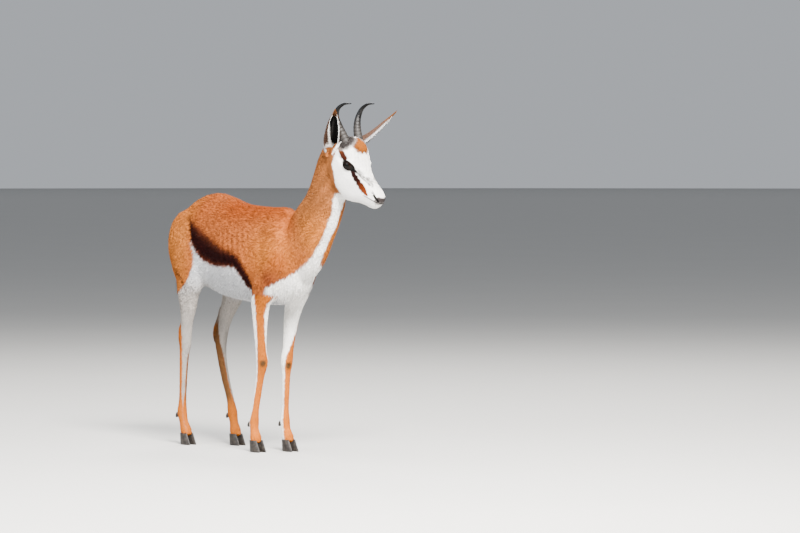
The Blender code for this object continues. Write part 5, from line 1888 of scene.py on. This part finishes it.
@dataclass
class Coat:
    """The coat over the skin, in several pieces."""

    skin: Surface
    tufts: Tufts = Tufts()
    # Name, the parts that it covers, which side of the middle, and how many tufts.
    pieces: tuple = (
        ("coat_trunk_right", (Part.TORSO,), -1, 19600),
        ("coat_trunk_left", (Part.TORSO,), 1, 19600),
        ("coat_neck", (Part.NECK,), 0, 15500),
        ("coat_head", (Part.FACE,), 0, 19600),
        ("coat_ears", (Part.EAR_RIGHT, Part.EAR_LEFT), 0, 9000),
        ("coat_forelegs", (Part.FORE_RIGHT, Part.FORE_LEFT), 0, 17000),
        ("coat_hindlegs", (Part.HIND_RIGHT, Part.HIND_LEFT), 0, 18500),
        ("coat_tail", (Part.TAIL,), 0, 2600),
    )

    def sizes(self, points: np.ndarray, normals: np.ndarray, parts: np.ndarray) -> np.ndarray:
        """Length, width and lift of a tuft at each place: long on the trunk and short on the
        face and the legs, with a fringe below the belly and fuller hair round the horns."""
        x, y, z = points.T
        size = np.tile(np.array((0.0135, 0.0021, 0.15)), (len(x), 1))
        fringe = ramp(-normals[:, 2], 0.45, 0.85) * ramp(x, -0.36, -0.28) * (parts == Part.TORSO.value)
        size[:, 0] += 0.0065 * fringe
        size[:, 2] += 0.14 * fringe
        neck = ramp(ATLAS.beyond(points, ATLAS.neck_plane), -0.06, 0.10)
        size = size + (np.array((0.0095, 0.0018, 0.17)) - size) * neck[:, None]
        low = 1 - ramp(z, 0.40, 0.50)
        size = size + (np.array((0.0068, 0.0014, 0.12)) - size) * low[:, None]
        foot = 1 - ramp(z, 0.05, 0.32)
        size = size + (np.array((0.0050, 0.0011, 0.10)) - size) * (foot * low)[:, None]
        at = parts == Part.FACE.value
        own = HEAD.read(points[at])
        mirrored = np.column_stack([own[:, 0], np.abs(own[:, 1]), own[:, 2]])
        face = np.tile(np.array((0.0052, 0.0011, 0.13)), (len(own), 1))
        fine = ramp(own[:, 0], 0.02, 0.11)
        face = face + (np.array((0.0026, 0.0007, 0.10)) - face) * fine[:, None]
        horned = 1 - ramp(np.linalg.norm(mirrored - MARKS.horn_root, axis=1), 0.017, 0.030)
        face = face + (np.array((0.0090, 0.0015, 0.42)) - face) * horned[:, None]
        throat = ramp(-own[:, 2], 0.06, 0.09) * (1 - ramp(own[:, 0], 0.00, 0.05))
        face = face + (np.array((0.0085, 0.0015, 0.18)) - face) * throat[:, None]
        eyes = np.minimum(*(EYE.read(points[at], side)[0] for side in Side))
        face[:, 0] *= 0.45 + 0.55 * ramp(eyes, 1.3, 2.2)
        size[at] = face
        for ear, part in zip(EARS, (Part.EAR_RIGHT, Part.EAR_LEFT)):
            at = parts == part.value
            share, across, _, away = ear.read(points[at])
            inner = (normals[at] * away).sum(axis=1) < 0
            one = np.tile(np.array((0.0050, 0.0010, 0.10)), (at.sum(), 1))
            rim = ramp(np.abs(across), 0.70, 0.90) * (1 - ramp(share, 0.80, 0.95))
            one[:, 0] += 0.0035 * rim
            one[:, 2] += 0.12 * rim + 0.10 * (1 - ramp(share, 0.15, 0.35))
            one[inner, 0] += 0.0025
            size[at] = one
        at = parts == Part.TAIL.value
        size[at] = (0.0130, 0.0018, 0.20)
        return size

    def bald(self, points: np.ndarray, parts: np.ndarray) -> np.ndarray:
        """True where no tuft grows: within the lids, the nostrils, the mouth's line, on the bare
        nose, under the horns and at the hooves' edge."""
        own = HEAD.read(points)
        mirrored = np.column_stack([own[:, 0], np.abs(own[:, 1]), own[:, 2]])
        face = parts == Part.FACE.value
        eyes = np.minimum(*(EYE.read(points, side)[0] for side in Side)) < 1.30
        above, line = MUZZLE.mouth(own)
        reach, _ = MUZZLE.slits(own)
        mouth = (np.abs(above) < 0.0013) & (line > 0.3)
        nose = MARKS.bare(own) > 0.4
        horned = np.linalg.norm(mirrored - MARKS.horn_root, axis=1) < 0.0125
        return (face & (eyes | mouth | (reach < 1.6) | nose | horned)) | (points[:, 2] < 0.0345)

    def roots(self, faces: np.ndarray, count: int, weight: np.ndarray, draw: np.random.Generator) -> np.ndarray:
        """Random places on triangles: a triangle by its weight, then a place within it by two
        shares, folded over where they pass one.

        Args:
            faces: The triangles to draw from.
            count: How many places.
            weight: Each triangle's share of them.
            draw: The source of random draws.

        Returns:
            The number of each place's triangle, and its shares of the three corners.
        """
        chosen = draw.choice(len(faces), size=count, p=weight / weight.sum())
        pair = draw.uniform(0.0, 1.0, (count, 2))
        pair = np.where(pair.sum(axis=1, keepdims=True) > 1, 1 - pair, pair)
        return np.column_stack([chosen, 1 - pair.sum(axis=1), pair])

    def build(self) -> list[bpy.types.Object]:
        """Grows every piece of the coat."""
        finish = CoatFinish("fur").material()
        points, faces = self.skin.points, self.skin.faces
        normals = self.skin.normals()
        centre = points[faces].mean(axis=1)
        facing = unit(normals[faces].mean(axis=1))
        parts = ATLAS.parts(centre)
        corner = points[faces]
        area = np.linalg.norm(np.cross(corner[:, 1] - corner[:, 0], corner[:, 2] - corner[:, 0]), axis=1) / 2
        size = self.sizes(centre, facing, parts)
        dense = area / (size[:, 0] * size[:, 1]) ** 0.75
        made = []
        for index, (name, covered, side, count) in enumerate(self.pieces):
            draw = np.random.default_rng(SEED + index)
            at = np.isin(parts, [part.value for part in covered])
            if side:
                at = at & (centre[:, 1] * side >= 0)
            kept = np.flatnonzero(at)
            picks = self.roots(faces[kept], count, dense[kept], draw)
            triangle = faces[kept[picks[:, 0].astype(int)]]
            root = (points[triangle] * picks[:, 1:, None]).sum(axis=1)
            normal = unit((normals[triangle] * picks[:, 1:, None]).sum(axis=1))
            part = parts[kept[picks[:, 0].astype(int)]]
            grows = ~self.bald(root, part)
            root, normal, part = root[grows], normal[grows], part[grows]
            way = LIE.directions(root, normal, part)
            surface = self.tufts.grow(root, normal, way, self.sizes(root, normal, part), draw)
            colour = MARKS.paint(root, normal, part)
            chart = ATLAS.charts(ATLAS.grain(root, part), part)
            painted = {"coat": self.tufts.colours(colour, draw)}
            piece = Piece(name, surface, finish, "coat_tan", painted=painted, chart=self.tufts.chart(chart))
            made.append(piece.place())
        return made


@dataclass
class Skin:
    """The painted skin, which stands for every node of flesh."""

    form: SkinForm = field(default_factory=SkinForm)

    def build(self) -> Surface:
        """Shapes the skin, paints it and puts it in the scene.

        Returns:
            The skin's surface, for the coat to grow on.
        """
        surface = self.form.build()
        normals = surface.normals()
        parts = ATLAS.parts(surface.points)
        own = HEAD.read(surface.points)
        bare = MARKS.bare(own) * (parts == Part.FACE.value)
        lids = np.minimum(*(EYE.read(surface.points, side)[0] for side in Side)) < 1.3
        painted = {
            # The skin is painted at 0.86 of the hair's colour, as painted shade under the coat.
            "coat": np.clip(MARKS.paint(surface.points, normals, parts) * 0.86, 0.0, 0.93),
            "grain": ATLAS.grain(surface.points, parts),
            "bare": np.maximum(bare, lids * 0.6),
        }
        flesh = ["torso", "neck", "head", "tail"]
        for side in Side:
            for part in ("ear", "foreleg", "forecannon", "hindleg", "hindcannon"):
                flesh.append(f"{part}_{side.word}")
        Piece("skin", surface, SkinFinish().material(), "coat_tan", tuple(flesh), painted).place()
        return surface


@dataclass(frozen=True)
class Horn:
    """A ringed horn that leans back and hooks forward at its tip."""

    # In the head's upright frame: ahead of the eyes, half spread, above the eyes, radius.
    stations: tuple = (
        (-0.013, 0.028, 0.062, 0.0132),
        (-0.022, 0.032, 0.084, 0.0126),
        (-0.034, 0.0405, 0.117, 0.0108),
        (-0.037, 0.049, 0.144, 0.0086),
        (-0.027, 0.053, 0.167, 0.0064),
        (-0.004, 0.053, 0.181, 0.0040),
        (0.025, 0.051, 0.183, 0.0014),
    )
    rings: int = 9
    ring_depth: float = 0.00042
    ringed: float = 0.60
    steps: int = 190
    around: int = 36

    def build(self, side: Side, finish: bpy.types.Material) -> bpy.types.Object:
        """Builds one horn.

        Its radius grows by a rounded wave of the share along it, which fades where the rings
        end, and shallow flutes run along it as a cosine of the angle.

        Args:
            side: Which horn.
            finish: Its material.

        Returns:
            The object.
        """
        rows = np.array(self.stations)
        rows[:, 1] *= side.value
        rows = np.column_stack([HEAD.upright(rows[:, :3]), rows[:, 3], rows[:, 3]])
        rows = smooth_rows(rows, self.steps)
        share = np.linspace(0.0, 1.0, self.steps)
        fade = np.clip((self.ringed - share) / 0.18, 0.0, 1.0)
        wave = np.abs(np.cos(math.pi * self.rings * share / self.ringed)) ** 0.7
        rows[:, 3:5] += (self.ring_depth * fade * (2 * wave - 1))[:, None]
        rings = tube_rings(rows, self.around)
        angle = np.linspace(0.0, TURN, self.around, endpoint=False)
        flutes = 1 + 0.010 * np.cos(9 * angle) * (1 - share[:, None]) ** 1.5
        rings = rows[:, None, :3] + (rings - rows[:, None, :3]) * flutes[..., None]
        along = share[:, None] * 0.20 + np.zeros(self.around)
        round_it = angle * 0.011 + np.zeros((self.steps, 1))
        grain = np.stack([along, round_it, np.zeros_like(along)], axis=-1).reshape(-1, 3)
        share_of = np.repeat(share, self.around)
        ridge = np.repeat(np.clip(wave * fade + (1 - fade), 0, 1), self.around)
        painted = {
            "share": np.append(share_of, (0.0, 1.0)),
            "ridge": np.append(ridge, (1.0, 1.0)),
            "grain": np.concatenate([grain, grain[:1], grain[-1:]]),
        }
        name = f"horn_sheath_{side.word}"
        surface = Surface.closed_tube(rings)
        return Piece(name, surface, finish, "horn", (f"horn_{side.word}",), painted).place()


@dataclass(frozen=True)
class Eye:
    """A dark wet eyeball with a slight corneal dome and a pupil that lies level."""

    dome: float = 0.0005
    iris: float = 0.62
    pupil: tuple[float, float] = (0.36, 0.20)
    iris_colour: tuple[float, float, float] = (0.0040, 0.0018, 0.0010)
    rim_colour: tuple[float, float, float] = (0.0018, 0.0014, 0.0012)

    def build(self, side: Side, finish: bpy.types.Material) -> bpy.types.Object:
        """Builds one eye from rings of latitude round the way it looks.

        Its radius grows by the dome times e to minus the squared angle from that way.

        Args:
            side: Which eye.
            finish: Its material.

        Returns:
            The object.
        """
        middle, out, level, tall = EYE.frame(side)
        turn = np.linspace(0.01, math.pi - 0.01, 72)[:, None]
        around = np.linspace(0.0, TURN, 96, endpoint=False)[None, :]
        radius = EYE.radius + self.dome * np.exp(-((turn / 0.6) ** 2))
        a, b = np.sin(turn) * np.cos(around), np.sin(turn) * np.sin(around)
        ball = radius[..., None] * (out * np.cos(turn)[..., None] + level * a[..., None] + tall * b[..., None])
        surface = Surface.closed_tube(middle + ball)
        off = unit(surface.points - middle)
        a, b, facing = off @ level, off @ tall, off @ out
        away = np.hypot(a, b)
        colour = np.tile(np.array(self.rim_colour), (len(off), 1))
        spokes = 0.75 + 0.25 * np.sin(41 * np.arctan2(b, a)) * np.sin(17 * away / self.iris)
        iris = np.array(self.iris_colour) * spokes[:, None]
        shown = (1 - ramp(away, self.iris * 0.88, self.iris)) * (facing > 0)
        colour = colour + (iris - colour) * shown[:, None]
        pupil = 1 - ramp(np.hypot(a / self.pupil[0], b / self.pupil[1]), 0.85, 1.05)
        colour = laid(colour, (0.0008, 0.0008, 0.0008), pupil * (facing > 0))
        name = f"eyeball_{side.word}"
        painted = {"coat": colour}
        return Piece(name, surface, finish, "eye", (f"eye_{side.word}",), painted).place()


@dataclass(frozen=True)
class Hoof:
    """A foot's two claws and its two dewclaws."""

    top: tuple[float, float] = (0.0170, 0.0086)
    sole: tuple[float, float] = (0.0255, 0.0102)
    toe: float = 0.0115
    spread: float = 0.0112
    height: float = 0.0357
    dewclaw: tuple = ((0.0, 0.0062), (0.6, 0.0056), (1.0, 0.0034))
    dewclaw_drop: float = 0.01125

    def claw(self, middle: np.ndarray, inner: int) -> Surface:
        """One claw: ovals that narrow ahead and rise from the sole to the coronet.

        The half width is the sine of the angle, less by a third of the squared cosine ahead, and
        flatter on the side that faces the other claw. The lowest ovals draw in to a soft edge.

        Args:
            middle: The floor point under the coronet.
            inner: The sign of Y towards the other claw.

        Returns:
            The surface.
        """
        share = np.concatenate([np.linspace(0.0, 0.12, 7), np.linspace(0.16, 1.0, 20)])[:, None]
        angle = np.linspace(0.0, TURN, 48, endpoint=False)[None, :]
        draw_in = np.clip(1 - share / 0.12, 0, 1) ** 2
        half_length = self.sole[0] + (self.top[0] - self.sole[0]) * share - 0.0015 * draw_in
        half_width = self.sole[1] + (self.top[1] - self.sole[1]) * share - 0.0012 * draw_in
        x = half_length * np.cos(angle) + self.toe * (1 - share)
        y = half_width * np.sin(angle) * (1 - 0.34 * np.maximum(0.0, np.cos(angle)) ** 2)
        y = np.where(y * inner > 0, y * 0.62, y)
        z = share * self.height + np.zeros_like(angle)
        return Surface.closed_tube(np.stack([x, y, z], axis=-1) + middle)

    def build(self, fore: bool, side: Side, finish: bpy.types.Material) -> bpy.types.Object:
        """Builds one foot's horn parts as one piece."""
        rows = BODY.leg_rows(fore, side)
        coronet, fetlock = rows[-2], rows[-4]
        made = []
        for sign in (side.value, -side.value):
            middle = np.array((coronet[0] + 0.002, coronet[1] + sign * self.spread, 0.0))
            made.append(self.claw(middle, -sign))
            root = np.array((fetlock[0] - 0.010, fetlock[1] + sign * 0.0085, fetlock[2] - 0.006))
            way = np.array((-0.0095, 0.0, -self.dewclaw_drop))
            stations = [(*(root + way * share), radius, radius) for share, radius in self.dewclaw]
            made.append(Surface.closed_tube(tube_rings(smooth_rows(stations, 14), 20)))
        word = "fore" if fore else "hind"
        nodes = tuple(f"claw_{word}_{side.word}_{place}" for place in ("inner", "outer"))
        return Piece(f"hoof_{word}_{side.word}", Surface.joined(made), finish, "claw", nodes).place()


@dataclass(frozen=True)
class TailTuft:
    """Long dark hair hanging from the tail's lower part."""

    count: int = 1500
    start: float = 0.50
    length: tuple[float, float] = (0.030, 0.066)
    width: float = 0.0017
    fan: float = 0.16

    def build(self) -> bpy.types.Object:
        """Grows the hair round the tail's path, longest near its end."""
        draw = np.random.default_rng(SEED + 50)
        path = smooth_rows(BODY.tail_rows(), 200)
        share = draw.uniform(self.start, 1.0, self.count)
        row = path[(share * 199).astype(int)]
        angle = draw.uniform(0.0, TURN, self.count)
        normal = np.column_stack([np.cos(angle), np.sin(angle), np.zeros(self.count)])
        root = row[:, :3] + normal * (row[:, 3:4] - 0.0015)
        way = unit(np.gradient(path[:, :3], axis=0))[(share * 199).astype(int)]
        way = unit(way + normal * self.fan * draw.uniform(0.1, 1.0, (self.count, 1)))
        normal = unit(normal - way * (normal * way).sum(axis=1, keepdims=True))
        low, high = self.length
        length = (low + (high - low) * ramp(share, self.start, 0.9)) * draw.uniform(0.75, 1.0, self.count)
        size = np.column_stack([length, np.full(self.count, self.width), np.full(self.count, 0.04)])
        tufts = Tufts(sway=0.05, uneven=0.2)
        surface = tufts.grow(root, normal, way, size, draw)
        colour = np.tile(np.array(MARKS.colours.black) * 1.4, (self.count, 1))
        white = 1 - ramp(share + draw.normal(0, 0.03, self.count), 0.55, 0.62)
        colour = laid(colour, MARKS.colours.belly, white)
        chart = np.column_stack([0.02 + 0.96 * angle / TURN, 0.02 + 0.96 * share])
        return Piece(
            "tail_hair",
            surface,
            CoatFinish("long_hair", roughness=0.55, sheen=0.05).material(),
            "tuft_black",
            ("tail_tuft",),
            {"coat": tufts.colours(colour, draw)},
            tufts.chart(chart),
        ).place()


@dataclass(frozen=True)
class Studio:
    """The floor, the soft lights and the camera."""

    azimuth: float = math.radians(55)
    distance: float = 12.0
    eye_height: float = 0.97
    pixels_per_metre: float = 328.0
    picture: tuple[int, int] = (800, 533)
    origin_pixel: tuple[float, float] = (284.0, 135.0)
    sensor: float = 36.0
    # Name, azimuth and elevation in degrees, distance, size, power, colour.
    lights: tuple = (
        ("key", 68, 38, 5.0, 1.9, 1900, (1.0, 0.965, 0.92)),
        ("fill", 5, 20, 5.5, 3.4, 240, (0.88, 0.94, 1.0)),
        ("back", 225, 50, 5.5, 2.4, 460, (1.0, 0.97, 0.93)),
        ("top", 30, 80, 4.5, 2.6, 240, (0.98, 0.98, 1.0)),
    )
    sky: tuple[float, float, float] = (0.80, 0.84, 0.90)
    sky_strength: float = 0.56
    floor_reach: float = 60.0

    def camera(self) -> None:
        """Sets the camera to the right front of the animal, turned so that the origin falls on
        its own pixel of the picture."""
        width, height = self.picture
        focal = self.pixels_per_metre * self.distance
        lens = bpy.data.cameras.new("camera")
        lens.sensor_width = self.sensor
        lens.lens = self.sensor * focal / width
        lens.clip_end = 100.0
        back = Vector((math.sin(self.azimuth), -math.cos(self.azimuth), 0.0))
        yaw = math.atan((width / 2 - self.origin_pixel[0]) / focal)
        pitch = math.atan((height / 2 - self.origin_pixel[1]) / focal)
        forward = Matrix.Rotation(-yaw, 3, "Z") @ (-back)
        forward = (forward * math.cos(pitch) - Vector((0, 0, 1)) * math.sin(pitch)).normalized()
        obj = bpy.data.objects.new("camera", lens)
        obj.location = Vector(ORIGIN_SHIFT) + back * self.distance + Vector((0, 0, self.eye_height))
        obj.rotation_mode = "QUATERNION"
        obj.rotation_quaternion = forward.to_track_quat("-Z", "Y")
        bpy.context.scene.collection.objects.link(obj)
        bpy.context.scene.camera = obj

    def light(self) -> None:
        """Sets the soft lights round the animal and the even light of the room."""
        aim = Vector((-0.1, -0.03, 0.55))
        for name, azimuth, elevation, distance, size, power, colour in self.lights:
            lamp = bpy.data.lights.new(name, "AREA")
            lamp.shape = "DISK"
            lamp.size = size
            lamp.energy = power
            lamp.color = colour
            a, e = math.radians(azimuth), math.radians(elevation)
            way = Vector((math.sin(a) * math.cos(e), -math.cos(a) * math.cos(e), math.sin(e)))
            obj = bpy.data.objects.new(name, lamp)
            obj.location = aim + way * distance
            obj.rotation_mode = "QUATERNION"
            obj.rotation_quaternion = way.to_track_quat("Z", "Y")
            bpy.context.scene.collection.objects.link(obj)
        world = bpy.data.worlds.new("room")
        world.use_nodes = True
        background = world.node_tree.nodes["Background"]
        background.inputs["Color"].default_value = (*self.sky, 1.0)
        background.inputs["Strength"].default_value = self.sky_strength
        bpy.context.scene.world = world

    def floor(self) -> None:
        """Lays a wide round floor just under the soles, as rings from its middle outwards."""
        reach = np.concatenate([[0.02], np.geomspace(0.1, self.floor_reach, 30)])
        angle = np.linspace(0.0, TURN, 64, endpoint=False)
        ring = np.stack([np.cos(angle), np.sin(angle), np.zeros(64)], axis=-1)
        rows = reach[:, None, None] * ring
        rows[..., 2] = -0.0004
        below = rows[::-1].copy()
        below[..., 2] = -0.05
        surface = Surface.closed_tube(np.concatenate([rows, below]))
        mesh = surface.mesh("floor")
        mesh.materials.append(FloorFinish().material())
        obj = bpy.data.objects.new("floor", mesh)
        bpy.context.scene.collection.objects.link(obj)

    def build(self) -> None:
        """Builds the whole stage."""
        self.camera()
        self.light()
        self.floor()


def main() -> None:
    """Builds the stage and every piece of the animal."""
    logging.basicConfig(level=logging.INFO, format="%(name)s: %(message)s")
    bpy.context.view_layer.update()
    Studio().build()
    surface = Skin().build()
    horn, hoof, eye = HornFinish().material(), HoofFinish().material(), EyeFinish().material()
    for side in Side:
        Horn().build(side, horn)
        Eye().build(side, eye)
        for fore in (True, False):
            Hoof().build(fore, side, hoof)
    TailTuft().build()
    Coat(surface).build()


if __name__ == "__main__":
    main()
